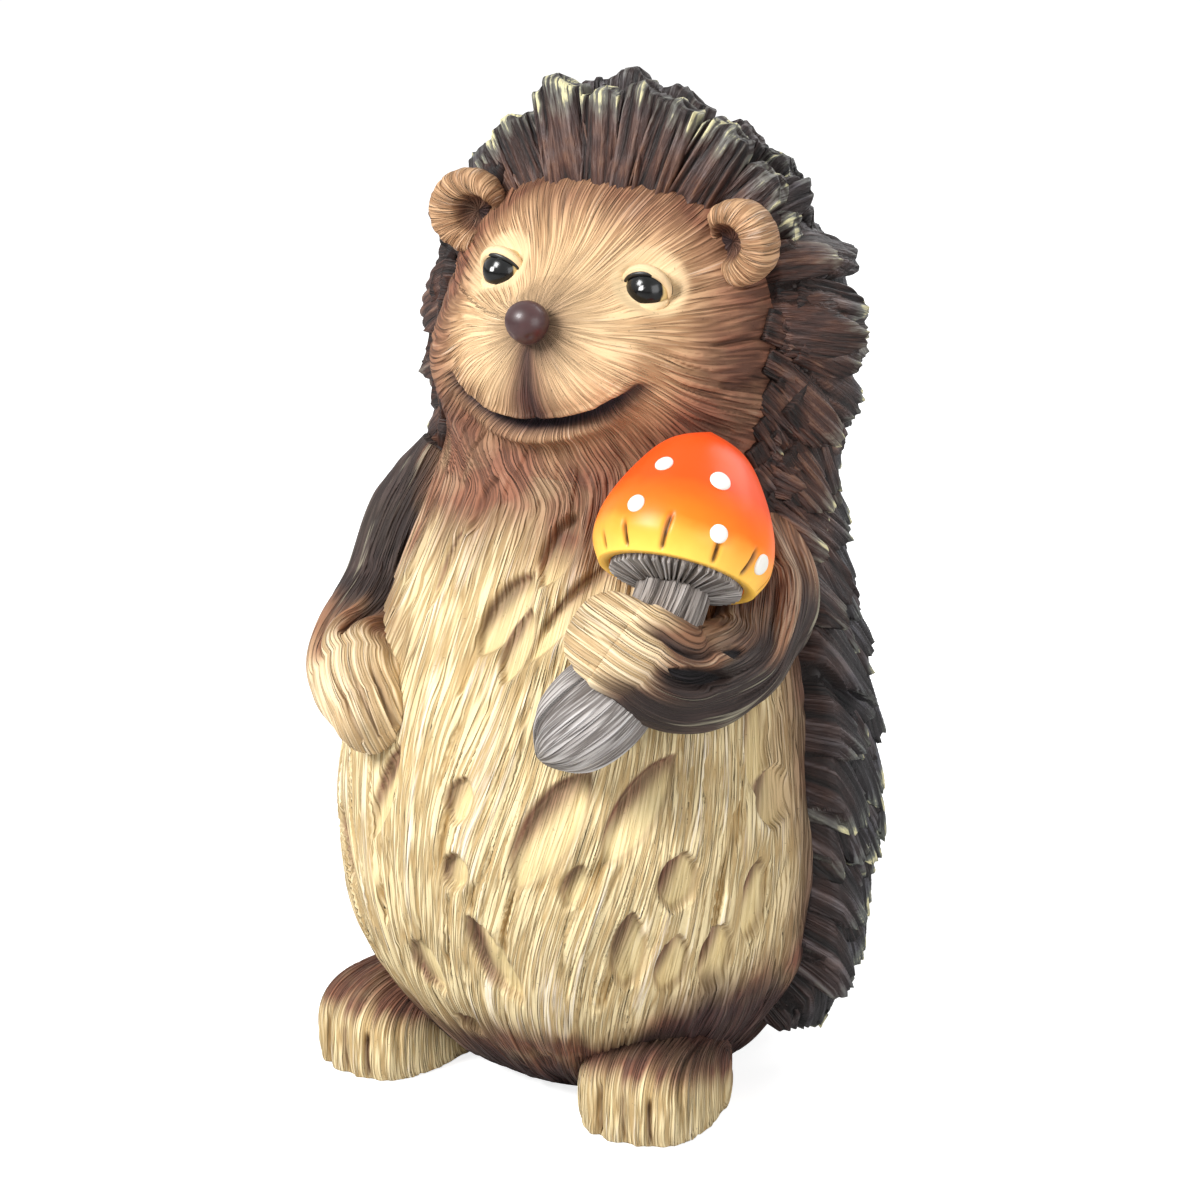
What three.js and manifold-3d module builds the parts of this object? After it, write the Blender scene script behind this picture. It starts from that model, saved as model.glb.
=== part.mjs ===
// Solar garden light: a hollow cast-resin hedgehog that holds a lit toadstool.
// Millimetres, +Z up. The figure faces -Y, its left side is +X and it stands on the plane Z = 0.
import * as THREE from "three";
import { mergeVertices } from "three/addons/utils/BufferGeometryUtils.js";
import Module from "manifold-3d";

const wasm = await Module();
wasm.setup();

// Fits
const castGap = 0.3; // between castings that are bonded to each other
const fitGap = 0.3; // between plastic pieces that drop into each other
const runGap = 0.3; // around pieces that slide

// Battery: one two-thirds AAA cell, its contacts and the bay that holds them
const cellDiameter = 10.5;
const cellLength = 28.5;
const cellNubDiameter = 3.8;
const cellNubLength = 1;
const springLength = 5;
const springRadius = 3.4;
const springWire = 0.7;
const springTurns = 3;
const contactWidth = 7;
const contactThickness = 0.6;
const tabWidth = 2.4;
const tabLength = 2.5;
const bayWall = 1.5;

// Base cover and what fastens it
const coverRecess = 2;
const coverThickness = 3;
const ledgeLap = 6.2;
const ledgeThickness = 6;
const gasketThickness = 1;
const screwCount = 4;
const screwDiameter = 2.4;
const screwHeadDiameter = 4.4;
const screwHeadHeight = 1.4;
const screwLength = 7;
const baseRim = 2.8;

// Battery door
const doorThickness = 1.8;
const doorLap = 2.5;
const doorBossRadius = 3;
const doorBossHeight = 5;
const doorScrewLength = 5;

// Slide switch
const switchLength = 13;
const switchWidth = 6.4;
const switchHeight = 5.6;
const switchWall = 1.2;
const switchTravel = 2.5;
const nubLength = 3;
const nubWidth = 2.4;
const nubProud = 1;
const switchSpacing = 3.5;

// Circuit board
const boardLength = 22;
const boardWidth = 11;
const boardThickness = 1.2;
const boardLift = 1.5;
const postRadius = 2.2;
const postSpacing = 12;
const pegRadius = 1;
const chipLength = 4.2;
const chipWidth = 3;
const chipHeight = 1.8;
const chokeDiameter = 3.4;
const chokeLength = 8;
const chipOffset = 1.7;
const chokeOffset = 2.8;

// Solar module on the back
const cellPanelSize = 42;
const cellPanelThickness = 2.2;
const bezelRim = 3.5;
const bezelDepth = 6;
const sealThickness = 1;
const sealWidth = 3;
const seatMargin = 3;
const solarHeight = 128;
const solarTilt = THREE.MathUtils.degToRad(18);
const solarSeat = 60; // from the axis to the seat's middle
const leadPortRadius = 3.2;

// Body casting: reach to the sides, front and back at each height
const bodyWall = 5;
const bayInnerLength = springLength + cellLength + cellNubLength + 2 * contactThickness + 4 * fitGap;
const bayInnerWidth = cellDiameter + 2 * fitGap;
const openingRadius = Math.hypot(bayInnerLength / 2 + bayWall, bayInnerWidth / 2 + bayWall) + 1;
const coverRadius = openingRadius + ledgeLap;
const rebateRadius = coverRadius + castGap;
const baseRadius = rebateRadius + baseRim;
const BODY = [
  { z: 0, side: baseRadius, front: baseRadius, back: baseRadius },
  { z: 11, side: 41.5, front: 45.5, back: 36 },
  { z: 33, side: 55, front: 62, back: 45.5 },
  { z: 63, side: 58.5, front: 67.5, back: 49 },
  { z: 93, side: 55, front: 61.5, back: 48.5 },
  { z: 120, side: 47, front: 46, back: 46 },
  { z: 143, side: 42, front: 31, back: 43.5 },
  { z: 166, side: 43.5, front: 25, back: 40.5 },
  { z: 187, side: 41, front: 20.5, back: 36 },
  { z: 202, side: 30, front: 11, back: 29 },
  { z: 209, side: 15, front: 0.5, back: 18 },
  { z: 211, side: 0.5, front: -8, back: 9 },
];

// Leaf-shaped hollows carved in the belly: degrees from the front, height, sizes and degrees of tilt
const hollows = [
  { angle: -21, height: 138, length: 13, width: 5, tilt: 15, depth: 1.8 },
  { angle: 9, height: 132.5, length: 15, width: 7, tilt: 15, depth: 2.8 },
  { angle: -28, height: 124, length: 17, width: 4.5, tilt: 5, depth: 2 },
  { angle: -2, height: 119, length: 19, width: 8.5, tilt: 25, depth: 2.4 },
  { angle: 16, height: 121, length: 26, width: 5.5, tilt: 36, depth: 2 },
  { angle: 4, height: 113.5, length: 15, width: 6.5, tilt: 10, depth: 2.4 },
  { angle: -27, height: 77, length: 24, width: 6.5, tilt: 16, depth: 2.4 },
  { angle: -3, height: 81, length: 11, width: 7, tilt: 10, depth: 2 },
  { angle: 18.5, height: 76.5, length: 32, width: 12, tilt: 30, depth: 2.4 },
  { angle: 38, height: 81, length: 28, width: 10, tilt: 34, depth: 2.4 },
  { angle: 47.5, height: 64.5, length: 14, width: 9, tilt: 14, depth: 3.4 },
  { angle: 24.5, height: 64.5, length: 11, width: 5.5, tilt: 20, depth: 3 },
  { angle: -3, height: 65, length: 9, width: 7, tilt: 0, depth: 2.4 },
  { angle: 5, height: 44, length: 24, width: 7, tilt: -26, depth: 2.8 },
  { angle: 36, height: 48.5, length: 20, width: 7.5, tilt: 8, depth: 3 },
  { angle: 46, height: 44, length: 16, width: 7.5, tilt: 14, depth: 3 },
  { angle: 57, height: 44, length: 18, width: 8, tilt: 10, depth: 3 },
  { angle: 67, height: 56, length: 20, width: 6.5, tilt: 10, depth: 3 },
  { angle: 73, height: 79, length: 15, width: 10, tilt: 4, depth: 3 },
  { angle: 68, height: 92, length: 24, width: 6.5, tilt: 0, depth: 2.8 },
  { angle: -8, height: 22.5, length: 7, width: 6, tilt: 0, depth: 2.8 },
  { angle: -14.5, height: 37.5, length: 15, width: 9, tilt: -24, depth: 2.2 },
  { angle: -55, height: 92, length: 26, width: 8, tilt: -10, depth: 2.4 },
  { angle: -48, height: 56, length: 22, width: 8, tilt: -18, depth: 2.6 },
  { angle: -70, height: 70, length: 24, width: 8, tilt: -6, depth: 2.6 },
  { angle: -66, height: 40, length: 16, width: 7, tilt: -14, depth: 2.6 },
];
const hollowOutline = [
  [0.5, 0],
  [0.25, -0.42],
  [-0.25, -0.42],
  [-0.5, 0],
  [-0.25, 0.42],
  [0.25, 0.42],
];

// Face
const muzzleCentre = new THREE.Vector3(0, -18, 174);
const muzzleRadii = new THREE.Vector3(26, 20, 18);
const jawCentre = new THREE.Vector3(0, -17, 157.5);
const jawRadii = new THREE.Vector3(18, 13.5, 8);
const cheekCentre = new THREE.Vector3(27, -9, 166);
const cheekRadii = new THREE.Vector3(12, 13, 13);
const noseCentre = new THREE.Vector3(0, -38.8, 183.6);
const noseRadius = 4.9;
const smileRadius = 1.1;
const eyeCentre = new THREE.Vector3(18, -16.2, 188.4);
const eyeRadius = 5;
const earCentre = new THREE.Vector3(35, -3, 198);
const earRadii = new THREE.Vector3(8.8, 5, 9.6);
const earTurn = THREE.MathUtils.degToRad(24);
const earHollow = 0.62; // share of the ear's face that is scooped out

// Feet
const footRadii = new THREE.Vector3(15.5, 20, 15);
const leftFoot = { centre: new THREE.Vector3(29.5, -33, 7), turn: THREE.MathUtils.degToRad(4) };
const rightFoot = { centre: new THREE.Vector3(-39.5, -31, 7), turn: THREE.MathUtils.degToRad(-12) };

// Quill coat
const coatFloor = 15;
const coatDepth = [
  { z: 0, depth: 4 },
  { z: 30, depth: 5.5 },
  { z: 90, depth: 6 },
  { z: 130, depth: 6.5 },
  { z: 180, depth: 8 },
  { z: 230, depth: 9 },
];
const coatEdge = [
  { left: -6, right: 4, z: -20 },
  { left: -10, right: 3, z: 40 },
  { left: -12, right: 2, z: 80 },
  { left: -1, right: 4, z: 122 },
  { left: 5, right: 6, z: 158 },
  { left: 5, right: 6, z: 188 },
  { left: -1, right: -1, z: 203 },
  { left: -3, right: -3, z: 250 },
];
const tuftPitch = 18;
const tuftLength = 22;
const tuftWidth = 17;
const tuftDepth = 7;
const tuftLift = THREE.MathUtils.degToRad(7);
const flowLevel = 196; // height at which the quills lie level
const flowFade = 60; // further down by this much they point straight down
const flowParting = 12; // they part to the sides within this distance of the middle
const crestSpread = THREE.MathUtils.degToRad(54);
const crestLength = 28.5;
const crestWidth = 13;
const crestDepth = 9.5;
const crestRootReach = 30; // the slabs' roots stand on an arch of this half width
const crestRootRise = 27;
const crestRootDrop = 34; // foot of the arch below the crown's top
const crestRootBow = 8;
const crestRows = [
  { count: 10, y: 0.6, lean: 0.12, rise: 0, length: 1 },
  { count: 9, y: 9, lean: 0.3, rise: 0, length: 0.97 },
  { count: 8, y: 18, lean: 0.6, rise: -3, length: 0.9 },
];

// Toadstool
const stemFoot = new THREE.Vector3(16, -63, 94);
const stemTop = new THREE.Vector3(41, -46.5, 135.7);
const capAxis = new THREE.Vector3(-0.05, 0.58, 0.81).normalize();
const stemBend = 24;
const stemBoreRadius = 3.2;
const stemRadii = [4, 9.5, 11, 10.2, 9, 8.2, 8, 8];
const capRadius = 19.6;
const capHeight = 32;
const capWall = 2.4;
const capProfile = [
  [0.88, -0.05],
  [1, 0.11],
  [0.96, 0.34],
  [0.745, 0.625],
  [0.45, 0.86],
  [0, 1],
]; // shares of the cap's radius and height
const gillThickness = 2.4;
const gillDrop = 4;
const ledDiameter = 5;
const ledLength = 8.6;
const ledFlangeDiameter = 5.8;
const ledFlangeHeight = 1;
const holderRadius = 6.2;
const holderHeight = 4;

// Arms: centre line and radius at each point, from the shoulder to the finger tips
const leftArm = [
  { at: [38, -4, 132], radius: 9 },
  { at: [46.5, -13, 121], radius: 10.5 },
  { at: [49.5, -33, 113], radius: 11.2 },
  { at: [45, -54, 114.5], radius: 11.6 },
  { at: [38.5, -65.5, 119.5], radius: 11.2 },
  { at: [34.5, -68, 122.5], radius: 10 },
];
const rightArm = [
  { at: [-41, 1, 138], radius: 10 },
  { at: [-48, -5, 123.5], radius: 11.8 },
  { at: [-50, -15, 108], radius: 12 },
  { at: [-47, -34, 99.5], radius: 11.2 },
  { at: [-38, -49, 97.5], radius: 11 },
  { at: [-31.5, -55.5, 93.5], radius: 8.5 },
];

// Wires
const wireDiameter = 1.4;

// Facets
const bodySegments = 24;
const ringsPerStation = 2;
const roundSegments = 20;
const smallSegments = 8;

// Materials
function paint(color, roughness, metalness = 0) {
  return new THREE.MeshStandardMaterial({ color, roughness, metalness });
}

const finish = {
  body: paint(0xd9c08a, 0.75),
  quill: paint(0x3a2e2c, 0.75),
  arm: paint(0x8a6a4c, 0.75),
  eye: paint(0x14110f, 0.15),
  cap: paint(0xf47a20, 0.35),
  gill: paint(0x8d8078, 0.75),
  stem: paint(0xb9b3ad, 0.7),
  blackPlastic: paint(0x1c1c1e, 0.55),
  seal: paint(0x2a2a2a, 0.9),
  steel: paint(0xb8bcc0, 0.35, 1),
  panel: paint(0x14203c, 0.2),
  cell: paint(0x3f8f4f, 0.4),
  board: paint(0x1f6b3a, 0.5),
  chip: paint(0x101010, 0.5),
  choke: paint(0x5a8f6a, 0.5),
  led: paint(0xfff1c8, 0.15),
  whitePlastic: paint(0xe8e6e0, 0.5),
  red: paint(0xb3221c, 0.5),
  black: paint(0x151515, 0.5),
};

// Solids

// A closed geometry as a solid, with its shared corners merged and its empty triangles dropped.
function solid(geometry) {
  const bare = new THREE.BufferGeometry();
  bare.setAttribute("position", geometry.getAttribute("position"));
  bare.setIndex(geometry.index);
  const merged = mergeVertices(bare, 1e-4);
  const index = merged.index.array;
  const kept = [];
  for (let i = 0; i < index.length; i += 3) {
    const [a, b, c] = index.subarray(i, i + 3);
    if (a !== b && b !== c && c !== a) kept.push(a, b, c);
  }
  return new wasm.Manifold(
    new wasm.Mesh({
      numProp: 3,
      vertProperties: new Float32Array(merged.attributes.position.array),
      triVerts: new Uint32Array(kept),
    }),
  );
}

function geometryOf(shape) {
  const mesh = shape.getMesh();
  const geometry = new THREE.BufferGeometry();
  geometry.setAttribute("position", new THREE.BufferAttribute(mesh.vertProperties, 3));
  geometry.setIndex(new THREE.BufferAttribute(mesh.triVerts, 1));
  geometry.computeVertexNormals();
  return geometry;
}

function piece(name, shape, material) {
  const mesh = new THREE.Mesh(geometryOf(shape), material);
  mesh.name = name;
  return mesh;
}

const join = (...shapes) => shapes.reduce((a, b) => a.add(b));
const cut = (shape, ...tools) => tools.reduce((a, b) => a.subtract(b), shape);

// A solid carried by a placement matrix.
const placed = (shape, matrix) => shape.transform(matrix.toArray());

// Surface through closed rings of points, with a fan over each end.
function loft(rings) {
  const count = rings[0].length;
  const points = rings.flat();
  const index = [];
  for (let i = 0; i + 1 < rings.length; i++) {
    for (let j = 0; j < count; j++) {
      const a = i * count + j;
      const b = i * count + ((j + 1) % count);
      index.push(a, b, b + count, a, b + count, a + count);
    }
  }
  const ends = [rings[0], rings[rings.length - 1]];
  const middles = ends.map((ring) =>
    ring.reduce((sum, p) => sum.add(p), new THREE.Vector3()).divideScalar(count),
  );
  const last = (rings.length - 1) * count;
  for (let j = 0; j < count; j++) {
    const next = (j + 1) % count;
    index.push(points.length, next, j);
    index.push(points.length + 1, last + j, last + next);
  }
  const geometry = new THREE.BufferGeometry().setFromPoints([...points, ...middles]);
  geometry.setIndex(index);
  return solid(geometry);
}

// Round tube along a curve whose radius follows a list of values spread evenly from end to end.
function taperedTube(curve, radii, steps, sides) {
  const frames = curve.computeFrenetFrames(steps);
  const radiusLine = new THREE.SplineCurve(radii.map((r, i) => new THREE.Vector2(i, r)));
  const rings = [];
  for (let i = 0; i <= steps; i++) {
    const centre = curve.getPointAt(i / steps);
    const radius = radiusLine.getPoint(i / steps).y;
    const ring = [];
    for (let j = 0; j < sides; j++) {
      const angle = (2 * Math.PI * j) / sides;
      const spoke = frames.normals[i].clone().multiplyScalar(Math.cos(angle));
      spoke.addScaledVector(frames.binormals[i], Math.sin(angle));
      ring.push(centre.clone().addScaledVector(spoke, radius));
    }
    rings.push(ring);
  }
  return loft(rings);
}

function box(size, centre) {
  return solid(new THREE.BoxGeometry(...size).translate(...centre));
}

// Upright cylinder standing on a height.
function post(radius, from, to, x = 0, y = 0, sides = roundSegments) {
  const geometry = new THREE.CylinderGeometry(radius, radius, to - from, sides);
  return solid(geometry.rotateX(Math.PI / 2).translate(x, y, (from + to) / 2));
}

// Cylinder between two points.
function bar(from, to, radius, sides = smallSegments) {
  const axis = to.clone().sub(from);
  const geometry = new THREE.CylinderGeometry(radius, radius, axis.length(), sides);
  const up = new THREE.Vector3(0, 1, 0);
  geometry.applyQuaternion(new THREE.Quaternion().setFromUnitVectors(up, axis.clone().normalize()));
  const middle = from.clone().add(to).divideScalar(2);
  return solid(geometry.translate(middle.x, middle.y, middle.z));
}

function ellipsoid(centre, radii, turn = 0, across = 18, down = 10) {
  const geometry = new THREE.SphereGeometry(1, across, down).rotateX(Math.PI / 2);
  geometry.scale(radii.x, radii.y, radii.z).rotateZ(turn);
  return solid(geometry.translate(centre.x, centre.y, centre.z));
}

const mirrored = (v) => new THREE.Vector3(-v.x, v.y, v.z);

// Body surface

const bodyLines = ["side", "front", "back"].map(
  (reach) => new THREE.SplineCurve(BODY.map((station) => new THREE.Vector2(station[reach], station.z))),
);

// Point of the body at an angle from the front, turning towards the left side, and a share of its rise.
function skinPoint(angle, rise) {
  const [side, front, back] = bodyLines.map((line) => line.getPoint(rise));
  const middle = (back.x - front.x) / 2;
  const depth = (back.x + front.x) / 2;
  return new THREE.Vector3(side.x * Math.sin(angle), middle - depth * Math.cos(angle), side.y);
}

function skinNormal(angle, rise) {
  const step = 1e-3;
  const low = Math.max(rise - step, 0);
  const high = Math.min(rise + step, 1 - step);
  const around = skinPoint(angle + step, high).sub(skinPoint(angle - step, high));
  const upward = skinPoint(angle, high).sub(skinPoint(angle, Math.min(low, high - step)));
  return around.cross(upward).normalize();
}

const bodyPoint = (angle, rise, offset) =>
  skinPoint(angle, rise).addScaledVector(skinNormal(angle, rise), offset);

// Share of a rising line at which it reaches a height.
function riseAt(height, line = bodyLines[0]) {
  let low = 0;
  let high = 1;
  for (let i = 0; i < 40; i++) {
    const middle = (low + high) / 2;
    if (line.getPoint(middle).y < height) low = middle;
    else high = middle;
  }
  return low;
}

// Depth of the quill coat over the body at a height.
function coatDepthAt(height) {
  const above = coatDepth.findIndex((station) => station.z > height);
  if (above < 1) return coatDepth[above === 0 ? 0 : coatDepth.length - 1].depth;
  const low = coatDepth[above - 1];
  const high = coatDepth[above];
  return THREE.MathUtils.mapLinear(height, low.z, high.z, low.depth, high.depth);
}

// Body grown or shrunk by an offset that may change with height, from one height up to the crown.
function bodySolid(offsetAt, fromHeight, segments = bodySegments, perStation = ringsPerStation) {
  const rings = [];
  const start = riseAt(Math.max(fromHeight, 0));
  const count = (BODY.length - 1) * perStation;
  for (let i = 0; i <= count; i++) {
    const rise = start + ((1 - start) * i) / count;
    const offset = offsetAt(skinPoint(0, rise).z);
    const ring = [];
    for (let j = 0; j < segments; j++) {
      const point = bodyPoint((2 * Math.PI * j) / segments, rise, offset);
      if (i === 0) point.z = fromHeight;
      ring.push(point);
    }
    rings.push(ring);
  }
  return loft(rings);
}

const coverTop = coverRecess + coverThickness;
const ledgeBottom = coverTop + gasketThickness;
const ledgeTop = ledgeBottom + ledgeThickness;
const grownBody = bodySolid(() => castGap, -5);

// Front edge of the quill coat on each flank
const edgeLine = (side) =>
  new THREE.SplineCurve(coatEdge.map((at) => new THREE.Vector2(at[side], at.z)));
const edgeLines = { left: edgeLine("left"), right: edgeLine("right") };

// Angle at which the coat's edge crosses the body on one flank.
function edgeAngle(side, rise) {
  const front = bodyLines[1].getPoint(rise);
  const back = bodyLines[2].getPoint(rise);
  const edge = edgeLines[side].getPoint(riseAt(front.y, edgeLines[side]));
  const middle = (back.x - front.x) / 2;
  const depth = (back.x + front.x) / 2;
  const angle = Math.acos(THREE.MathUtils.clamp((middle - edge.x) / depth, -1, 1));
  return side === "left" ? angle : 2 * Math.PI - angle;
}

// Region in front of the quill coat, drawn back from its edge by a gap. The edge runs further to the
// front on the left flank than on the right.
const reach = 2 * BODY[3].side;
function frontRegion(gap) {
  const turn = new THREE.Matrix4().makeBasis(
    new THREE.Vector3(0, 1, 0),
    new THREE.Vector3(0, 0, 1),
    new THREE.Vector3(1, 0, 0),
  );
  const halves = ["left", "right"].map((side) => {
    const edge = edgeLines[side].getPoints(20).map(({ x, y }) => new THREE.Vector2(x - gap, y));
    const shape = new THREE.Shape([
      new THREE.Vector2(-reach, coatEdge[0].z),
      ...edge,
      new THREE.Vector2(-reach, coatEdge[coatEdge.length - 1].z),
    ]);
    const geometry = new THREE.ExtrudeGeometry(shape, { depth: reach, bevelEnabled: false });
    geometry.applyMatrix4(turn);
    return solid(side === "left" ? geometry : geometry.translate(-reach, 0, 0));
  });
  return join(...halves);
}

// Ears, with the scoop that makes them cups
function ear(side, grow) {
  const centre = earCentre.clone();
  centre.x *= side;
  const turn = side * earTurn;
  const outer = ellipsoid(centre, earRadii.clone().addScalar(grow), turn, 12, 8);
  if (grow > 0) return outer;
  const facing = new THREE.Vector3(Math.sin(turn), -Math.cos(turn), 0);
  const scoop = ellipsoid(
    centre.clone().addScaledVector(facing, earRadii.y),
    new THREE.Vector3(earRadii.x * earHollow, earRadii.y, earRadii.z * earHollow),
    turn,
    10,
    6,
  );
  return cut(outer, scoop);
}

// Feet, flat underneath
function foot({ centre, turn }) {
  const whole = ellipsoid(centre, footRadii, turn, 14, 8);
  return cut(whole, box([2 * reach, 2 * reach, 2 * footRadii.z], [0, 0, -footRadii.z]));
}

// Smile: a groove round the lower edge of the muzzle
function smile() {
  const points = [-1, -0.75, -0.4, 0, 0.4, 0.75, 1].map((share) => {
    const x = share * muzzleRadii.x * 0.86;
    const drop = Math.sqrt(1 - (x / muzzleRadii.x) ** 2);
    return new THREE.Vector3(
      x,
      muzzleCentre.y - muzzleRadii.y * 0.62 * drop - 1,
      muzzleCentre.z - muzzleRadii.z * 0.72 * drop,
    );
  });
  const curve = new THREE.CatmullRomCurve3(points);
  return taperedTube(curve, [0.6, 1, 1, 0.6].map((r) => r * smileRadius * 1.6), 8, 4);
}

// Screw places round the base cover
const screwCircle = coverRadius - ledgeLap / 2;
const screwPlaces = [];
for (let i = 0; i < screwCount; i++) {
  const angle = (2 * Math.PI * (i + 0.5)) / screwCount;
  screwPlaces.push([screwCircle * Math.cos(angle), screwCircle * Math.sin(angle)]);
}

// Toadstool line: up from the foot on the belly, bending into the cap's axis
const stemCurve = new THREE.QuadraticBezierCurve3(
  stemFoot,
  stemTop.clone().addScaledVector(capAxis, -stemBend),
  stemTop,
);
const portShare = 0.3; // share of the stem at which its leads pass into the body
const portLength = 30;
const stemPort = stemCurve.getPointAt(portShare);
const cavityPort = stemPort.clone().add(new THREE.Vector3(0, portLength, 0));
const ledPort = bar(stemPort, cavityPort, leadPortRadius);

// Solar module frame
const solarFrame = new THREE.Group();
solarFrame.position.set(0, solarSeat, solarHeight);
solarFrame.rotation.x = solarTilt - Math.PI / 2;
solarFrame.updateMatrix();
const bezelSize = cellPanelSize + 2 * (bezelRim + fitGap);
const solarPort = bar(
  new THREE.Vector3(0, solarSeat + 10, solarHeight),
  new THREE.Vector3(0, 20, solarHeight),
  leadPortRadius,
);

// Leaf-shaped hollow whose floor and mouth follow the skin at every corner of its outline.
function hollow({ angle, height, length, width, tilt, depth }) {
  const turn = THREE.MathUtils.degToRad(angle);
  const lean = THREE.MathUtils.degToRad(tilt);
  const rise = riseAt(height);
  const step = 1e-3;
  const radius = skinPoint(turn + step, rise).distanceTo(skinPoint(turn, rise)) / step;
  const ring = (offset) =>
    hollowOutline.map(([u, v]) => {
      const along = u * length;
      const across = v * width;
      const sideways = across * Math.cos(lean) + along * Math.sin(lean);
      const upward = along * Math.cos(lean) - across * Math.sin(lean);
      return bodyPoint(turn + sideways / radius, riseAt(height + upward), offset);
    });
  return loft([ring(-depth), ring(bodyWall)]);
}

// Body casting: hollow, open below, with the head, ears and feet in one piece
function bodyCasting() {
  const eyes = [eyeCentre, mirrored(eyeCentre)];
  const whole = join(
    bodySolid(() => 0, 0),
    ellipsoid(muzzleCentre, muzzleRadii),
    ellipsoid(jawCentre, jawRadii),
    ellipsoid(cheekCentre, cheekRadii, 0, 12, 8),
    ellipsoid(mirrored(cheekCentre), cheekRadii, 0, 12, 8),
    ellipsoid(noseCentre, new THREE.Vector3(1, 1, 1).multiplyScalar(noseRadius), 0, 12, 6),
    ear(1, 0),
    ear(-1, 0),
    foot(leftFoot),
    foot(rightFoot),
  );
  const sockets = eyes.map((at) =>
    ellipsoid(at, new THREE.Vector3(1, 1, 1).multiplyScalar(eyeRadius + castGap), 0, 10, 6),
  );
  const pilots = screwPlaces.map(([x, y]) =>
    post(screwDiameter / 2 + castGap, 0, coverRecess + screwLength + 1, x, y, smallSegments),
  );
  return cut(
    whole,
    bodySolid(() => -bodyWall, ledgeTop, 20, 1),
    post(openingRadius, -1, ledgeTop + 1),
    post(rebateRadius, -1, ledgeBottom),
    smile(),
    ...hollows.map(hollow),
    ledPort,
    solarPort,
    ...sockets,
    ...pilots,
  );
}

// Quill coat

// A repeatable number from -1 to 1 for a place in the pattern.
function scatter(row, column, salt) {
  const wave = Math.sin(row * 12.9898 + column * 78.233 + salt * 37.719) * 43758.5453;
  return 2 * (wave - Math.floor(wave)) - 1;
}

// Wedge along a direction from a root: one section of the given corners at each station, which holds a
// share of the length, a width and a depth.
function wedge(root, along, outward, length, corners, stations) {
  const across = new THREE.Vector3().crossVectors(along, outward).normalize();
  const up = new THREE.Vector3().crossVectors(across, along);
  return loft(
    stations.map(([share, width, depth]) =>
      corners.map(([a, b]) =>
        root
          .clone()
          .addScaledVector(along, share * length)
          .addScaledVector(across, -a * width)
          .addScaledVector(up, b * depth),
      ),
    ),
  );
}

// Blunt tapering quill tuft, ridged along its middle, whose underside stays inside the coat.
function tuft(root, along, outward, length, width, depth) {
  const corners = [
    [-0.5, -1.4],
    [0.5, -1.4],
    [0, 0.5],
  ];
  const stations = [
    [-0.25, width, depth],
    [1, width * 0.66, depth * 0.66],
  ];
  return wedge(root, along, outward, length, corners, stations);
}

// Tall slab of quills in the crest, wider and thinner towards its blunt end.
function slab(root, along, outward, length, width, depth) {
  const corners = [
    [-0.5, -0.5],
    [0.5, -0.5],
    [0.5, 0.5],
    [-0.5, 0.5],
  ];
  const stations = [
    [-0.15, width * 0.85, depth],
    [1, width * 0.97, depth * 0.7],
  ];
  return wedge(root, along, outward, length, corners, stations);
}

// Way that the quills lie: back and out, rising on the crown and falling on the flanks.
function quillFlow(point, normal) {
  const fall = THREE.MathUtils.clamp((flowLevel - point.z) / flowFade, -0.45, 1.25);
  const wish = new THREE.Vector3(0.3 * Math.tanh(point.x / flowParting), 0.75, -fall);
  wish.addScaledVector(normal, -wish.dot(normal));
  if (wish.length() < 0.2) wish.set(0, 0, -1);
  return wish.normalize();
}

function coatTufts() {
  const tufts = [];
  const seatHalf = bezelSize / 2 + seatMargin;
  const overSeat = ({ x, y, z }) =>
    y > 0 && Math.max(Math.abs(x), Math.abs(z - solarHeight)) < seatHalf;
  const rows = Math.round(bodyLines[2].getLength() / tuftPitch);
  for (let row = 0; row < rows; row++) {
    const rise = bodyLines[2].getUtoTmapping((row + 0.6) / rows);
    const { x: halfWidth, y: height } = bodyLines[0].getPoint(rise);
    const depth = coatDepthAt(height);
    const from = edgeAngle("left", rise);
    const turn = edgeAngle("right", rise) - from;
    const columns = Math.max(3, Math.round((turn * (halfWidth + depth)) / tuftPitch));
    for (let column = 0; column <= columns; column++) {
      const share = (column + (row % 2) * 0.5 + 0.22 * scatter(row, column, 1)) / columns;
      const angle = from + turn * THREE.MathUtils.clamp(share, 0, 1);
      const root = bodyPoint(angle, rise, depth - tuftDepth * 0.35);
      const normal = skinNormal(angle, rise);
      const flow = quillFlow(root, normal);
      const lift = tuftLift * (1 + 0.35 * scatter(row, column, 2));
      const along = flow.multiplyScalar(Math.cos(lift)).addScaledVector(normal, Math.sin(lift));
      const size = 1 + 0.18 * scatter(row, column, 3);
      const tip = root.clone().addScaledVector(along, tuftLength * size);
      if (root.z < coatFloor || overSeat(root) || overSeat(tip)) continue;
      tufts.push(tuft(root, along, normal, tuftLength * size, tuftWidth * size, tuftDepth));
    }
  }
  return tufts;
}

// Crest: tall slabs that fan out over the brow from ear to ear.
function crestTufts() {
  const tufts = [];
  const crownTop = BODY[BODY.length - 1].z;
  crestRows.forEach(({ count, y, lean, rise, length }, row) => {
    for (let i = 0; i < count; i++) {
      const share = (2 * i) / (count - 1) - 1;
      const angle = crestSpread * share + 0.05 * scatter(row, i, 5);
      const root = new THREE.Vector3(
        crestRootReach * Math.sin(angle),
        y + crestRootBow * Math.sin(angle) ** 2,
        crownTop - crestRootDrop + crestRootRise * Math.cos(angle) + rise,
      );
      const along = new THREE.Vector3(Math.sin(angle), lean, Math.cos(angle)).normalize();
      const long = crestLength * length * (1 - 0.33 * share * share + 0.05 * scatter(row, i + 20, 5));
      tufts.push(slab(root, along, new THREE.Vector3(0, -1, 0), long, crestWidth, crestDepth));
    }
  });
  return tufts;
}

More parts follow.
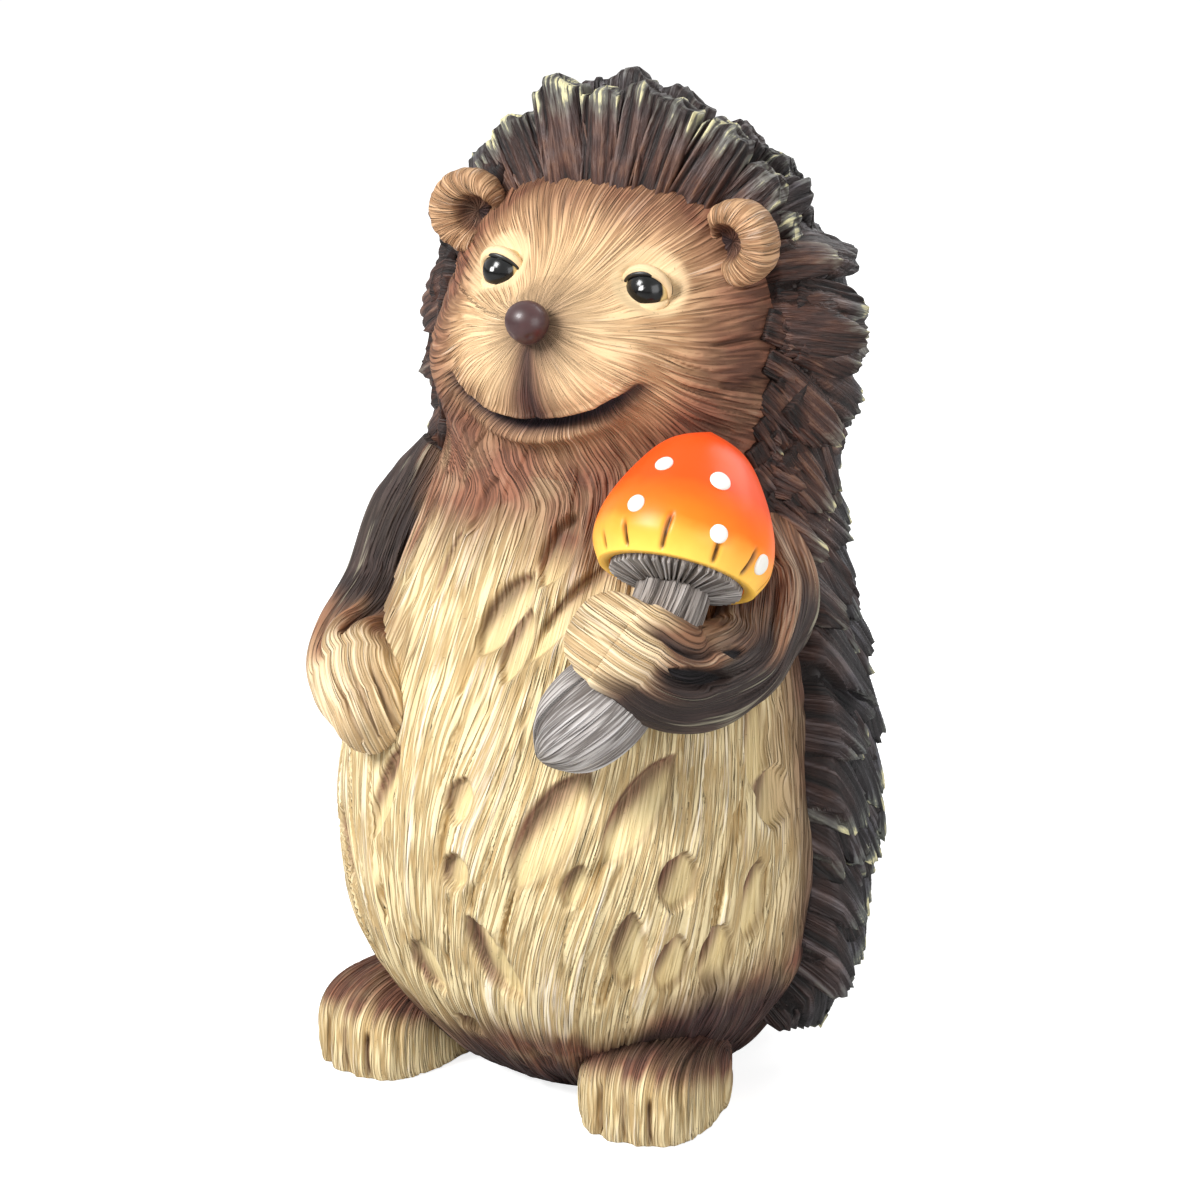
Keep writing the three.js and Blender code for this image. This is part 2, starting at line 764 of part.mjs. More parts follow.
function quillCoat() {
  const seatSize = bezelSize + 2 * seatMargin;
  const seat = box([seatSize, seatSize, solarSeat / 2], [0, 0, -solarSeat / 4]);
  const hide = join(
    bodySolid(coatDepthAt, 0, 18, 1),
    placed(seat, solarFrame.matrix),
    ...coatTufts(),
    ...crestTufts(),
  );
  const aboveSeat = placed(box([seatSize, seatSize, solarSeat], [0, 0, solarSeat / 2]), solarFrame.matrix);
  return cut(
    hide,
    grownBody,
    frontRegion(0),
    box([2 * reach, 2 * reach, 4 * coatFloor], [0, 0, -coatFloor]),
    aboveSeat,
    solarPort,
    ear(1, castGap),
    ear(-1, castGap),
  );
}

// Arms

const stemSolid = taperedTube(stemCurve, stemRadii, 10, 14);
const grownStem = taperedTube(
  stemCurve,
  stemRadii.map((radius) => radius + castGap),
  10,
  14,
);

function arm(line) {
  const curve = new THREE.CatmullRomCurve3(line.map(({ at }) => new THREE.Vector3(...at)));
  const radii = line.map(({ radius }) => radius);
  const limb = taperedTube(curve, radii, 12, 12);
  const tip = new THREE.Vector3(...line[line.length - 1].at);
  const round = radii[radii.length - 1] * 0.98;
  const paw = ellipsoid(tip, new THREE.Vector3(round, round, round), 0, 10, 6);
  return cut(join(limb, paw).intersect(frontRegion(castGap)), grownBody, grownStem);
}

// Toadstool

const capFrame = new THREE.Group();
capFrame.position.copy(stemTop);
capFrame.quaternion.setFromUnitVectors(new THREE.Vector3(0, 0, 1), capAxis);

function lathe(points, sides = roundSegments) {
  const geometry = new THREE.LatheGeometry(
    points.map(([r, z]) => new THREE.Vector2(r, z)),
    sides,
  );
  return solid(geometry.rotateX(Math.PI / 2));
}

const capPoint = ([r, z]) => new THREE.Vector2(r * capRadius, z * capHeight);

function capShell() {
  const line = new THREE.SplineCurve(capProfile.map(capPoint));
  const outside = line.getPoints(9).map(({ x, y }) => [Math.max(x, 0), y]);
  const inside = outside
    .map(([r, z]) => [Math.max(r - capWall, 0), z - capWall * (z / capHeight)])
    .reverse();
  return lathe([...outside, ...inside, outside[0]]);
}

// Gill plate: a shallow cone that closes the cap from below and lets the stem's top through
function gillPlate() {
  const { x: rimRadius, y: rimHeight } = capPoint(capProfile[0]);
  const outer = rimRadius - capWall - fitGap;
  const bore = holderRadius + fitGap;
  return lathe([
    [bore, -gillDrop],
    [outer, rimHeight],
    [outer, rimHeight + gillThickness],
    [bore, -gillDrop + gillThickness],
    [bore, -gillDrop],
  ]);
}

// LED holder: a plug on the stem's top, with a flange over the gill plate
function ledHolder() {
  const bottom = -gillDrop;
  const top = bottom + gillThickness + holderHeight;
  return cut(
    lathe([
      [0, bottom],
      [holderRadius, bottom],
      [holderRadius, top],
      [0, top],
    ]),
    post(ledDiameter / 2 - fitGap, bottom - 1, top + 1, 0, 0, smallSegments),
  );
}

function led() {
  const base = -gillDrop + gillThickness + holderHeight + fitGap;
  const radius = ledDiameter / 2;
  const points = [
    [0, base],
    [ledFlangeDiameter / 2, base],
    [ledFlangeDiameter / 2, base + ledFlangeHeight],
    [radius, base + ledFlangeHeight],
  ];
  for (let i = 0; i <= 4; i++) {
    const angle = (Math.PI / 8) * i;
    points.push([radius * Math.cos(angle), base + ledLength - radius + radius * Math.sin(angle)]);
  }
  return lathe(points, smallSegments);
}

// Base cover with the battery bay, the board posts and the door's screw boss

const bayBottom = coverRecess + doorThickness + runGap;
const cellAxis = bayBottom + fitGap + cellDiameter / 2;
const bayTop = cellAxis + cellDiameter / 2 + fitGap;
const doorFront = -(bayInnerWidth / 2 + doorLap);
const doorScrewY = bayInnerWidth / 2 + bayWall + doorBossRadius + fitGap;
const doorBack = doorScrewY + doorBossRadius + 0.5;
const doorLength = bayInnerLength + 2 * doorLap;
const switchY = doorFront - switchSpacing - switchWidth / 2;
const boardY = doorScrewY + doorBossRadius + boardWidth / 2 - 1.5;
const boardBottom = Math.max(ledgeTop, coverTop + doorBossHeight) + boardLift;
const boardTop = boardBottom + boardThickness;
const postPlaces = [-postSpacing / 2, postSpacing / 2];
const contactX = (bayInnerLength - contactThickness) / 2;

function doorPlate(gap) {
  const thickness = doorThickness + gap;
  return box(
    [doorLength + 2 * gap, doorBack - doorFront + 2 * gap, thickness],
    [0, (doorFront + doorBack) / 2, coverRecess + thickness / 2],
  );
}

function baseCover() {
  const bay = box(
    [bayInnerLength + 2 * bayWall, bayInnerWidth + 2 * bayWall, bayTop + bayWall - coverTop],
    [0, 0, (coverTop + bayTop + bayWall) / 2],
  );
  const posts = postPlaces.map((x) => post(postRadius, coverTop, boardBottom, x, boardY, smallSegments));
  const pegs = postPlaces.map((x) =>
    post(pegRadius, boardBottom - 1, boardTop + 1, x, boardY, smallSegments),
  );
  const whole = join(
    post(coverRadius, coverRecess, coverTop, 0, 0, roundSegments),
    bay,
    post(doorBossRadius, coverTop - 1, coverTop + doorBossHeight, 0, doorScrewY, smallSegments),
    ...posts,
    ...pegs,
  );
  const room = box([bayInnerLength, bayInnerWidth, bayTop], [0, 0, bayTop / 2]);
  const slot = box(
    [nubLength + switchTravel + 2 * runGap, nubWidth + 2 * runGap, 4 * coverThickness],
    [0, switchY, coverRecess],
  );
  const tabs = [-1, 1].map((side) =>
    box(
      [contactThickness + 2 * fitGap, tabWidth + 2 * fitGap, 4 * bayWall],
      [side * contactX, 0, bayTop + bayWall / 2],
    ),
  );
  const screwHoles = screwPlaces.map(([x, y]) =>
    post(screwDiameter / 2 + fitGap, 0, coverTop + 1, x, y, smallSegments),
  );
  const headSinks = screwPlaces.map(([x, y]) =>
    post(screwHeadDiameter / 2 + fitGap, 0, coverRecess + screwHeadHeight, x, y, smallSegments),
  );
  const pilot = post(
    screwDiameter / 2 + fitGap,
    0,
    coverRecess + doorScrewLength + 1,
    0,
    doorScrewY,
    smallSegments,
  );
  return cut(whole, room, doorPlate(runGap), slot, pilot, ...tabs, ...screwHoles, ...headSinks);
}

function baseGasket() {
  const ring = cut(
    post(coverRadius, coverTop, ledgeBottom, 0, 0, roundSegments),
    post(openingRadius, 0, ledgeTop),
    ...screwPlaces.map(([x, y]) => post(screwDiameter / 2 + fitGap, 0, ledgeTop, x, y, smallSegments)),
  );
  return ring;
}

// Pan-head screw with its head down, its head's underside at a height
function screw(x, y, headBottom, length) {
  return join(
    post(screwHeadDiameter / 2, headBottom, headBottom + screwHeadHeight, x, y, smallSegments),
    post(screwDiameter / 2, headBottom + 0.2, headBottom + length, x, y, smallSegments),
  );
}

function batteryDoor() {
  const head = post(
    screwHeadDiameter / 2 + fitGap,
    0,
    coverRecess + screwHeadHeight - 0.2,
    0,
    doorScrewY,
    smallSegments,
  );
  const hole = post(screwDiameter / 2 + fitGap, 0, coverTop, 0, doorScrewY, smallSegments);
  return cut(doorPlate(0), head, hole);
}

// Battery and contacts

function batteryCell() {
  const start = -bayInnerLength / 2 + contactThickness + springLength + 2 * fitGap;
  const end = start + cellLength;
  const axis = (x) => new THREE.Vector3(x, 0, cellAxis);
  return join(
    bar(axis(start), axis(end), cellDiameter / 2, 20),
    bar(axis(end - 1), axis(end + cellNubLength), cellNubDiameter / 2, smallSegments),
  );
}

const tabTop = bayTop + bayWall + tabLength;

function contactPlate(side) {
  const tall = bayTop - bayBottom - 2 * fitGap;
  const middle = (bayTop + bayBottom) / 2;
  return join(
    box([contactThickness, contactWidth, tall], [side * contactX, 0, middle]),
    box([contactThickness, tabWidth, tabTop - middle], [side * contactX, 0, (tabTop + middle) / 2]),
  );
}

class CoilLine extends THREE.Curve {
  getPoint(share, target = new THREE.Vector3()) {
    const angle = 2 * Math.PI * springTurns * share;
    const radius = springRadius * (1 - 0.35 * share);
    const start = -bayInnerLength / 2 + contactThickness + fitGap + springWire / 2;
    const along = start + (springLength - springWire) * share;
    return target.set(along, radius * Math.cos(angle), cellAxis + radius * Math.sin(angle));
  }
}

// Least clear distance between neighbouring turns of the battery spring
function coilGap(line, steps) {
  let least = Infinity;
  for (let i = 0; i + steps / springTurns <= steps; i++) {
    const near = line.getPoint(i / steps);
    const far = line.getPoint((i + steps / springTurns) / steps);
    least = Math.min(least, near.distanceTo(far) - springWire);
  }
  return least;
}

function batterySpring() {
  const line = new CoilLine();
  const steps = springTurns * 8;
  console.log("battery spring: least gap between turns " + coilGap(line, steps).toFixed(2) + " mm");
  return taperedTube(line, [springWire / 2, springWire / 2], steps, 5);
}

// Slide switch

function switchHousing() {
  const whole = box(
    [switchLength, switchWidth, switchHeight],
    [0, switchY, coverTop + switchHeight / 2],
  );
  const room = box(
    [switchLength - 2 * switchWall, switchWidth - 2 * switchWall, 2 * (switchHeight - switchWall)],
    [0, switchY, coverTop],
  );
  return cut(whole, room);
}

function switchSlider() {
  const off = -switchTravel / 2;
  const plateLength = switchLength - 2 * switchWall - switchTravel - 2 * runGap;
  const plateWidth = switchWidth - 2 * switchWall - 2 * runGap;
  const plateHeight = switchHeight - switchWall - 2 * runGap;
  const nubBottom = coverRecess - nubProud;
  const plateBottom = coverTop + runGap;
  return join(
    box([plateLength, plateWidth, plateHeight], [off, switchY, plateBottom + plateHeight / 2]),
    box(
      [nubLength, nubWidth, plateBottom + 1 - nubBottom],
      [off, switchY, (plateBottom + 1 + nubBottom) / 2],
    ),
  );
}

// Circuit board

function circuitBoard() {
  const holes = postPlaces.map((x) => post(pegRadius + fitGap, 0, boardTop + 1, x, boardY, smallSegments));
  const middle = [0, boardY, boardBottom + boardThickness / 2];
  return cut(box([boardLength, boardWidth, boardThickness], middle), ...holes);
}

const driverChip = () =>
  box([chipLength, chipWidth, chipHeight], [-chipOffset, boardY, boardTop + chipHeight / 2]);

function choke() {
  const height = boardTop + chokeDiameter / 2;
  return bar(
    new THREE.Vector3(chokeOffset, boardY - chokeLength / 2, height),
    new THREE.Vector3(chokeOffset, boardY + chokeLength / 2, height),
    chokeDiameter / 2,
  );
}

// Solar module, in its own frame with +Z out of the panel

const bezelBottom = sealThickness + 2 * fitGap;
const panelBottom = bezelBottom + bezelDepth - cellPanelThickness + fitGap;

function solarSeal() {
  return cut(
    box([bezelSize, bezelSize, sealThickness], [0, 0, fitGap + sealThickness / 2]),
    box([bezelSize - 2 * sealWidth, bezelSize - 2 * sealWidth, 4 * sealThickness], [0, 0, 0]),
  );
}

function solarBezel() {
  const pocket = cellPanelSize + 2 * fitGap;
  return cut(
    box([bezelSize, bezelSize, bezelDepth], [0, 0, bezelBottom + bezelDepth / 2]),
    box([pocket, pocket, 2 * cellPanelThickness], [0, 0, bezelBottom + bezelDepth]),
    post(leadPortRadius, -5, 20, 0, 0, smallSegments),
  );
}

const solarPanel = () =>
  box(
    [cellPanelSize, cellPanelSize, cellPanelThickness],
    [0, 0, panelBottom + cellPanelThickness / 2],
  );

// Wires: routes chosen by hand, from solder point to solder point

function wire(points) {
  const curve = new THREE.CatmullRomCurve3(points.map((p) => new THREE.Vector3(...p)));
  const section = new THREE.Shape();
  section.absarc(0, 0, wireDiameter / 2, 0, 2 * Math.PI);
  const steps = Math.max(10, Math.round(curve.getLength() / (5 * wireDiameter)));
  const settings = { steps, curveSegments: 5, bevelEnabled: false, extrudePath: curve };
  return solid(new THREE.ExtrudeGeometry(section, settings));
}

const wireBase = boardTop + fitGap;
const panelBack = new THREE.Vector3(0, 0, panelBottom - fitGap).applyMatrix4(solarFrame.matrix);
const solarLead = (x, boardX) =>
  wire([
    [boardX, boardY + 3, wireBase],
    [boardX, boardY + 3, wireBase + 6],
    [boardX * 0.6, boardY + 8, 40],
    [x, 33, 75],
    [x, 33, 108],
    [x, 35, solarHeight - 6],
    [x, 40, solarHeight - 0.5],
    [x, 48, solarHeight],
    [x, solarSeat - 2, solarHeight + 0.1],
    [x, panelBack.y, panelBack.z],
  ]);

const ledEnd = capAxis.clone().multiplyScalar(-gillDrop - fitGap).add(stemTop);
const portLine = new THREE.Vector3(0, 1, 0);
const ledSide = new THREE.Vector3().crossVectors(portLine, stemCurve.getTangentAt(portShare)).normalize();
const elbow = 3 / stemCurve.getLength();

// One of the lamp's two leads, held to its own side of the port and of the stem's bore.
function ledLead(offset, boardX) {
  const shift = ledSide.clone().multiplyScalar(offset);
  const inPort = [26, 9, 3].map((y) => stemPort.clone().addScaledVector(portLine, y));
  const inBore = [portShare + elbow, 0.5, 0.65, 0.8].map((share) => stemCurve.getPointAt(share));
  const held = [...inPort, ...inBore, ledEnd.clone()].map((point) => point.add(shift).toArray());
  return wire([
    [boardX, boardY - 3, wireBase],
    [boardX, boardY - 3, wireBase + 8],
    [boardX + 12, 2, 45],
    [20 + 1.5 * offset, -16, 84],
    ...held,
  ]);
}

const tabHeight = bayTop + bayWall + 1.4;
const tabFace = contactX - contactThickness / 2 - fitGap;
const switchTop = coverTop + switchHeight + fitGap;

const batteryLead = () =>
  wire([
    [tabFace, 0, tabHeight],
    [tabFace - 3, 1, tabHeight + 1],
    [9.5, 9, tabHeight + 1],
    [9, boardY - 3, wireBase + 3],
    [9, boardY - 3, wireBase],
  ]);

const returnLead = () =>
  wire([
    [-tabFace, 0, tabHeight],
    [-tabFace + 3, -1, tabHeight + 1],
    [-7, -9, tabHeight],
    [-3, switchY, switchTop + 4],
    [-3, switchY, switchTop],
  ]);

const switchLead = () =>
  wire([
    [3, switchY, switchTop],
    [3, switchY, switchTop + 4],
    [5, -8, tabHeight + 2],
    [7, 3, tabHeight + 2],
    [6.6, boardY - 4, wireBase + 3],
    [6.6, boardY - 4, wireBase],
  ]);

// Assembly

const figure = new THREE.Group();
figure.add(
  piece("body_casting", bodyCasting(), finish.body),
  piece("quill_coat", quillCoat(), finish.quill),
  piece("left_arm", arm(leftArm), finish.arm),
  piece("right_arm", arm(rightArm), finish.arm),
);
for (const [name, at] of [
  ["left_eye", eyeCentre],
  ["right_eye", mirrored(eyeCentre)],
]) {
  const ball = ellipsoid(at, new THREE.Vector3(1, 1, 1).multiplyScalar(eyeRadius), 0, 10, 6);
  figure.add(piece(name, ball, finish.eye));
}

const toadstool = new THREE.Group();
const boreLine = new THREE.CatmullRomCurve3(
  [portShare, 0.5, 0.7, 0.9, 1].map((share) => stemCurve.getPointAt(share)),
);
const stemBore = taperedTube(boreLine, [stemBoreRadius, stemBoreRadius], 8, smallSegments);
const stemRecess = bar(
  stemTop.clone().addScaledVector(capAxis, -gillDrop - castGap),
  stemTop.clone().addScaledVector(capAxis, capHeight),
  capRadius,
);
toadstool.add(
  piece("mushroom_stem", cut(stemSolid, grownBody, stemBore, ledPort, stemRecess), finish.stem),
);
capFrame.add(
  piece("mushroom_cap", capShell(), finish.cap),
  piece("mushroom_gills", gillPlate(), finish.gill),
  piece("led_holder", ledHolder(), finish.whitePlastic),
  piece("led", led(), finish.led),
);
toadstool.add(capFrame);

solarFrame.add(
  piece("solar_seal", solarSeal(), finish.seal),
  piece("solar_bezel", solarBezel(), finish.blackPlastic),
  piece("solar_panel", solarPanel(), finish.panel),
);

const base = new THREE.Group();
base.add(
  piece("base_cover", baseCover(), finish.blackPlastic),
  piece("base_gasket", baseGasket(), finish.seal),
  piece("battery_door", batteryDoor(), finish.blackPlastic),
  piece(
    "battery_door_screw",
    screw(0, doorScrewY, coverRecess - 0.2, doorScrewLength),
    finish.steel,
  ),
  piece("battery_cell", batteryCell(), finish.cell),
  piece("battery_contact", contactPlate(1), finish.steel),
  piece("battery_spring_plate", contactPlate(-1), finish.steel),
  piece("battery_spring", batterySpring(), finish.steel),
  piece("switch_housing", switchHousing(), finish.whitePlastic),
  piece("switch_slider", switchSlider(), finish.whitePlastic),
  piece("circuit_board", circuitBoard(), finish.board),
  piece("driver_chip", driverChip(), finish.chip),
  piece("choke", choke(), finish.choke),
);
screwPlaces.forEach(([x, y], i) => {
  base.add(piece(`base_screw_${i + 1}`, screw(x, y, coverRecess, screwLength), finish.steel));
});

const wiring = new THREE.Group();
wiring.add(
  piece("solar_wire_red", solarLead(1.2, 9), finish.red),
  piece("solar_wire_black", solarLead(-1.2, 6.5), finish.black),
  piece("led_wire_red", ledLead(-1, -8.5), finish.red),
  piece("led_wire_black", ledLead(1, -6), finish.black),
  piece("battery_wire_red", batteryLead(), finish.red),
  piece("battery_wire_black", returnLead(), finish.black),
  piece("switch_wire_black", switchLead(), finish.black),
);

const light = new THREE.Group();
light.add(figure, toadstool, solarFrame, base, wiring);

// The origin lies on the ground under the middle of the whole figure.
const middle = new THREE.Box3().setFromObject(light, true).getCenter(new THREE.Vector3());
light.position.set(-middle.x, -middle.y, 0);

export default light;
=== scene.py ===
"""Looks of a solar hedgehog garden light.

A cast-resin hedgehog, carved and painted by hand, hugs a toadstool lamp that glows. Shapes are worked out
in millimetres about the figure's upright axis, with -Y to its front and +X to its left, and go into
Blender in metres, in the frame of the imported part.
"""

import logging
from collections.abc import Callable
from dataclasses import dataclass, field
from enum import Enum
from functools import partial

import bpy
import numpy as np
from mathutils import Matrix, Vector


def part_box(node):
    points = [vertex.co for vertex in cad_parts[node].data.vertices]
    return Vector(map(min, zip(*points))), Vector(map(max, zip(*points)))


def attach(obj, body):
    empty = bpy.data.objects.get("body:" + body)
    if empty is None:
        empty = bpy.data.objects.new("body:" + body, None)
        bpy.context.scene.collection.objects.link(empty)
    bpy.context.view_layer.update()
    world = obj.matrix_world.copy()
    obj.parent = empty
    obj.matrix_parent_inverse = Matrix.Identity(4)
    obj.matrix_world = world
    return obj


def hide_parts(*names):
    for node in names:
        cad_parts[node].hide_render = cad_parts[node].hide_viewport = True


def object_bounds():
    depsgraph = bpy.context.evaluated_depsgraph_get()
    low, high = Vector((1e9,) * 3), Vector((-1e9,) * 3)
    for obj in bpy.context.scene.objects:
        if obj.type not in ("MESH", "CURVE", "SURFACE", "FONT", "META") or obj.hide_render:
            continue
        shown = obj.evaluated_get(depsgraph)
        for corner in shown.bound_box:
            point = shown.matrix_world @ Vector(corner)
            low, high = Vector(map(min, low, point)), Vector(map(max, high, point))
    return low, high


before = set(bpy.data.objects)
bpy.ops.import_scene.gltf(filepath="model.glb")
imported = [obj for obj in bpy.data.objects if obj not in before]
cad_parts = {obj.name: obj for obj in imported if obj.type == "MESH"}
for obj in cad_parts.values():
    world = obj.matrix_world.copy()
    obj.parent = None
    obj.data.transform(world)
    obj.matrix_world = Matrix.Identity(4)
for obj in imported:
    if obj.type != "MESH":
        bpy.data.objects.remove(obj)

CAD_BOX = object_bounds()
MM = 0.001
FIGURE = "figure"
BLEND = {"out": 2, "data_type": "RGBA"}
Array = np.ndarray
Marks = dict[str, Array | float]
Point = tuple[float, float, float]
Row = tuple[float, ...]
Rows = tuple[Row, ...]
Socket = bpy.types.NodeSocket
Material = bpy.types.Material
log = logging.getLogger("hedgehog_light")


class Side(Enum):
    """The figure's own sides, as the sign of X."""

    LEFT = 1
    RIGHT = -1

    @property
    def word(self) -> str:
        """The side as the start of a piece's name."""
        return self.name.lower()


class Slot(Enum):
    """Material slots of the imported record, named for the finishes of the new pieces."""

    BODY = "body_resin"
    QUILL = "quill_resin"
    ARM = "arm_resin"
    EYE = "eye_gloss"
    CAP = "cap_plastic"
    GILL = "gill_resin"
    STEM = "stem_resin"
    PLASTIC = "black_plastic"


# Numbers and grids


def mix(low: Array | float, high: Array | float, share: Array | float) -> Array:
    """Straight blend from low to high by a share."""
    return low + (high - low) * share


def smooth(low: Array | float, high: float, value: Array) -> Array:
    """Smooth step 3t^2 - 2t^3 from 0 at low to 1 at high; low above high makes it fall."""
    t = np.clip((value - low) / (high - low), 0, 1)
    return t * t * (3 - 2 * t)


def bell(distance: Array, width: Array | float) -> Array:
    """Bell curve exp(-(d / w)^2)."""
    return np.exp(-((distance / width) ** 2))


def unit(vectors: Array) -> Array:
    """Vectors divided by their lengths."""
    return vectors / np.maximum(np.linalg.norm(vectors, axis=-1, keepdims=True), 1e-9)


def xyz(points: Array) -> Array:
    """The three coordinates of points, each on its own."""
    return np.moveaxis(points, -1, 0)


def stacked(*parts: Array | float) -> Array:
    """Parts that are spread to one shape and stacked as coordinates."""
    return np.stack(np.broadcast_arrays(*parts), -1)


def signed_power(values: Array, power: Array | float) -> Array:
    """Power of the sizes of values with their signs kept, which squares a round form off."""
    return np.sign(values) * np.abs(values) ** power


def round_angles(count: int) -> Array:
    """Angles of evenly spaced points round a ring, in radians, as one row."""
    return (np.arange(count) / count * 2 * np.pi)[None, :]


def turn_from(angle: Array, degrees: float) -> Array:
    """Angles as measured from a place in degrees, half a turn each way, in radians."""
    return np.mod(angle - np.radians(degrees) + np.pi, 2 * np.pi) - np.pi


def walk(path: Array) -> Array:
    """Length walked along a line of points up to each of them."""
    return np.concatenate([[0], np.cumsum(np.linalg.norm(np.diff(path, axis=0), axis=1))])


def spline(rows: Array | Rows, share: Array) -> Array:
    """Uniform Catmull-Rom curve through rows of values, with its end rows doubled.

    Args:
        rows: one row of values per station.
        share: shares of the curve, from 0 at the first station to 1 at the last.

    Returns:
        One row of values per share.
    """
    rows = np.asarray(rows, float)
    last = len(rows) - 1
    place = np.clip(share, 0, 1) * last
    i = np.minimum(place.astype(int), last - 1)
    w = (place - i)[:, None]
    before, here = rows[np.maximum(i - 1, 0)], rows[i]
    there, after = rows[i + 1], rows[np.minimum(i + 2, last)]
    leave, arrive = (there - before) / 2, (after - here) / 2
    cubic = 2 * here - 2 * there + leave + arrive
    square = 3 * there - 3 * here - 2 * leave - arrive
    return cubic * w**3 + square * w**2 + leave * w + here


def lattice(i: Array, j: Array, salt: int) -> Array:
    """Repeatable numbers from 0 to 1 for whole places, by multiplying and shifting 32-bit whole numbers."""
    word = 0xFFFFFFFF
    mixed = (i.astype(np.int64) * 374761393 + j.astype(np.int64) * 668265263 + salt * 974634777) & word
    mixed = ((mixed ^ (mixed >> 13)) * 1274126177) & word
    return ((mixed ^ (mixed >> 16)) & 0xFFFF) / 0xFFFF


def scatter(row: Array, column: Array, salt: int) -> Array:
    """Repeatable numbers from -1 to 1 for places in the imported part's pattern of tufts, from a fast sine."""
    wave = np.sin(row * 12.9898 + column * 78.233 + salt * 37.719) * 43758.5453
    return 2 * (wave - np.floor(wave)) - 1


def streaks(across: Array, along: Array, pitch: float, length: float, salt: int, columns: int = 0) -> Array:
    """Hair strokes: value noise on a lattice that is narrow across the hair and long along it.

    Each lattice column is shifted along by its own amount, so that strokes end at different places.

    Args:
        across: millimetres across the hair.
        along: millimetres along the hair.
        pitch: spacing of the strokes.
        length: length of the strokes.
        salt: picks one pattern.
        columns: number of columns after which the pattern closes on itself, or 0.

    Returns:
        Values from 0 to 1.
    """
    x = across / pitch
    column = np.floor(x)

    def stroke(c: Array) -> Array:
        """Noise along one lattice column."""
        c = np.mod(c, columns) if columns else c
        y = along / length + 9 * lattice(c, np.zeros_like(c), salt + 50)
        j = np.floor(y)
        return mix(lattice(c, j, salt), lattice(c, j + 1, salt), smooth(0, 1, y - j))

    return mix(stroke(column), stroke(column + 1), smooth(0, 1, x - column))


def grooves(line: Array) -> Array:
    """Narrow grooves where a pattern of strokes passes its middle value."""
    return 1 - smooth(0.03, 0.15, np.abs(line - 0.5))


def grid_normals(grid: Array) -> Array:
    """Outward unit normals of a stack of rings: steps round the rings crossed with steps up the stack."""
    round_step = np.roll(grid, -1, axis=1) - np.roll(grid, 1, axis=1)
    return unit(np.cross(round_step, np.gradient(grid, axis=0)))


def grid_faces(rows: int, columns: int, wrap_rows: bool = False, wrap_columns: bool = True) -> list:
    """Quads of a grid of points that is stored row by row."""
    r = np.arange(rows if wrap_rows else rows - 1)[:, None]
    c = np.arange(columns if wrap_columns else columns - 1)[None, :]
    low, high, nxt = r * columns, ((r + 1) % rows) * columns, (c + 1) % columns
    return np.stack([low + c, low + nxt, high + nxt, high + c], -1).reshape(-1, 4).tolist()


def fan_faces(loop: Array, pole: int) -> list:
    """Triangles from each step of a closed loop of points to one pole."""
    return np.stack([loop, np.roll(loop, -1), np.full(len(loop), pole)], -1).tolist()


def capped(grid: Array, poles: tuple[Array, Array] | None = None) -> tuple[Array, list]:
    """Closed skin of a stack of rings, with a fan to a pole at each end.

    Args:
        grid: rings of points, each turning anticlockwise as seen from the last ring's end.
        poles: poles of the first and last rings, or None for the rings' middles.

    Returns:
        The points, with the two poles at the end, and the faces, quads first.
    """
    rows, columns = grid.shape[:2]
    count = rows * columns
    faces = grid_faces(rows, columns)
    faces += fan_faces(np.arange(columns)[::-1], count)
    faces += fan_faces(np.arange(count - columns, count), count + 1)
    first, last = poles or (grid[0].mean(axis=0), grid[-1].mean(axis=0))
    return np.concatenate([grid.reshape(-1, 3), [first, last]]), faces


def with_poles(values: Array) -> Array:
    """A grid's values as a list, with the means of its end rings for the two poles."""
    ends = [values[0].mean(axis=0), values[-1].mean(axis=0)]
    return np.concatenate([values.reshape(-1, *values.shape[2:]), ends])


def figure_axis() -> Array:
    """Where the figure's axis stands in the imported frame: the middle of the round base cover, in mm."""
    low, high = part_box("base_cover")
    return np.array([(low.x + high.x) / 2, (low.y + high.y) / 2, 0]) / MM


AXIS = figure_axis()


def inside_box(points: Array, margin: float = 0.3, zone: float = 2.0) -> Array:
    """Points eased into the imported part's box: the last zone before a wall is squeezed smoothly."""
    low, high = (np.array(corner) / MM - AXIS for corner in CAD_BOX)
    over = np.maximum(points - (high - margin - zone), 0)
    points = points - over + zone * (1 - np.exp(-over / zone))
    under = np.maximum((low + margin + zone) - points, 0) * np.array([1, 1, 0])
    return points + under - zone * (1 - np.exp(-under / zone))


# Materials


def linear(colour: str) -> tuple[float, float, float, float]:
    """Linear RGBA of an sRGB hex colour."""
    shares = np.array([int(colour[i : i + 2], 16) / 255 for i in (1, 3, 5)])
    flat = np.where(shares <= 0.04045, shares / 12.92, ((shares + 0.055) / 1.055) ** 2.4)
    return (*flat.tolist(), 1.0)


def add_node(
    tree: bpy.types.NodeTree, kind: str, links: dict | None = None, out: int | str = 0, **settings
) -> Socket | None:
    """Adds one shader node.

    Args:
        tree: the node tree.
        kind: Blender's name of the node type, without ShaderNode.
        links: for each input, by name or number, its value or the output that feeds it.
        out: the output that is wanted, by name or number.
        settings: the node's own properties.

    Returns:
        The wanted output, or None for a node that has no outputs.
    """
    node = tree.nodes.new("ShaderNode" + kind)
    for name, value in settings.items():
        setattr(node, name, value)
    for key, value in (links or {}).items():
        if isinstance(value, Socket):
            tree.links.new(value, node.inputs[key])
        else:
            node.inputs[key].default_value = value
    return node.outputs[out] if len(node.outputs) else None


def new_tree(owner: Material | bpy.types.World) -> Callable[..., Socket]:
    """Empties a material's or world's node tree and returns the function that adds nodes to it."""
    owner.use_nodes = True
    owner.node_tree.nodes.clear()
    return partial(add_node, owner.node_tree)


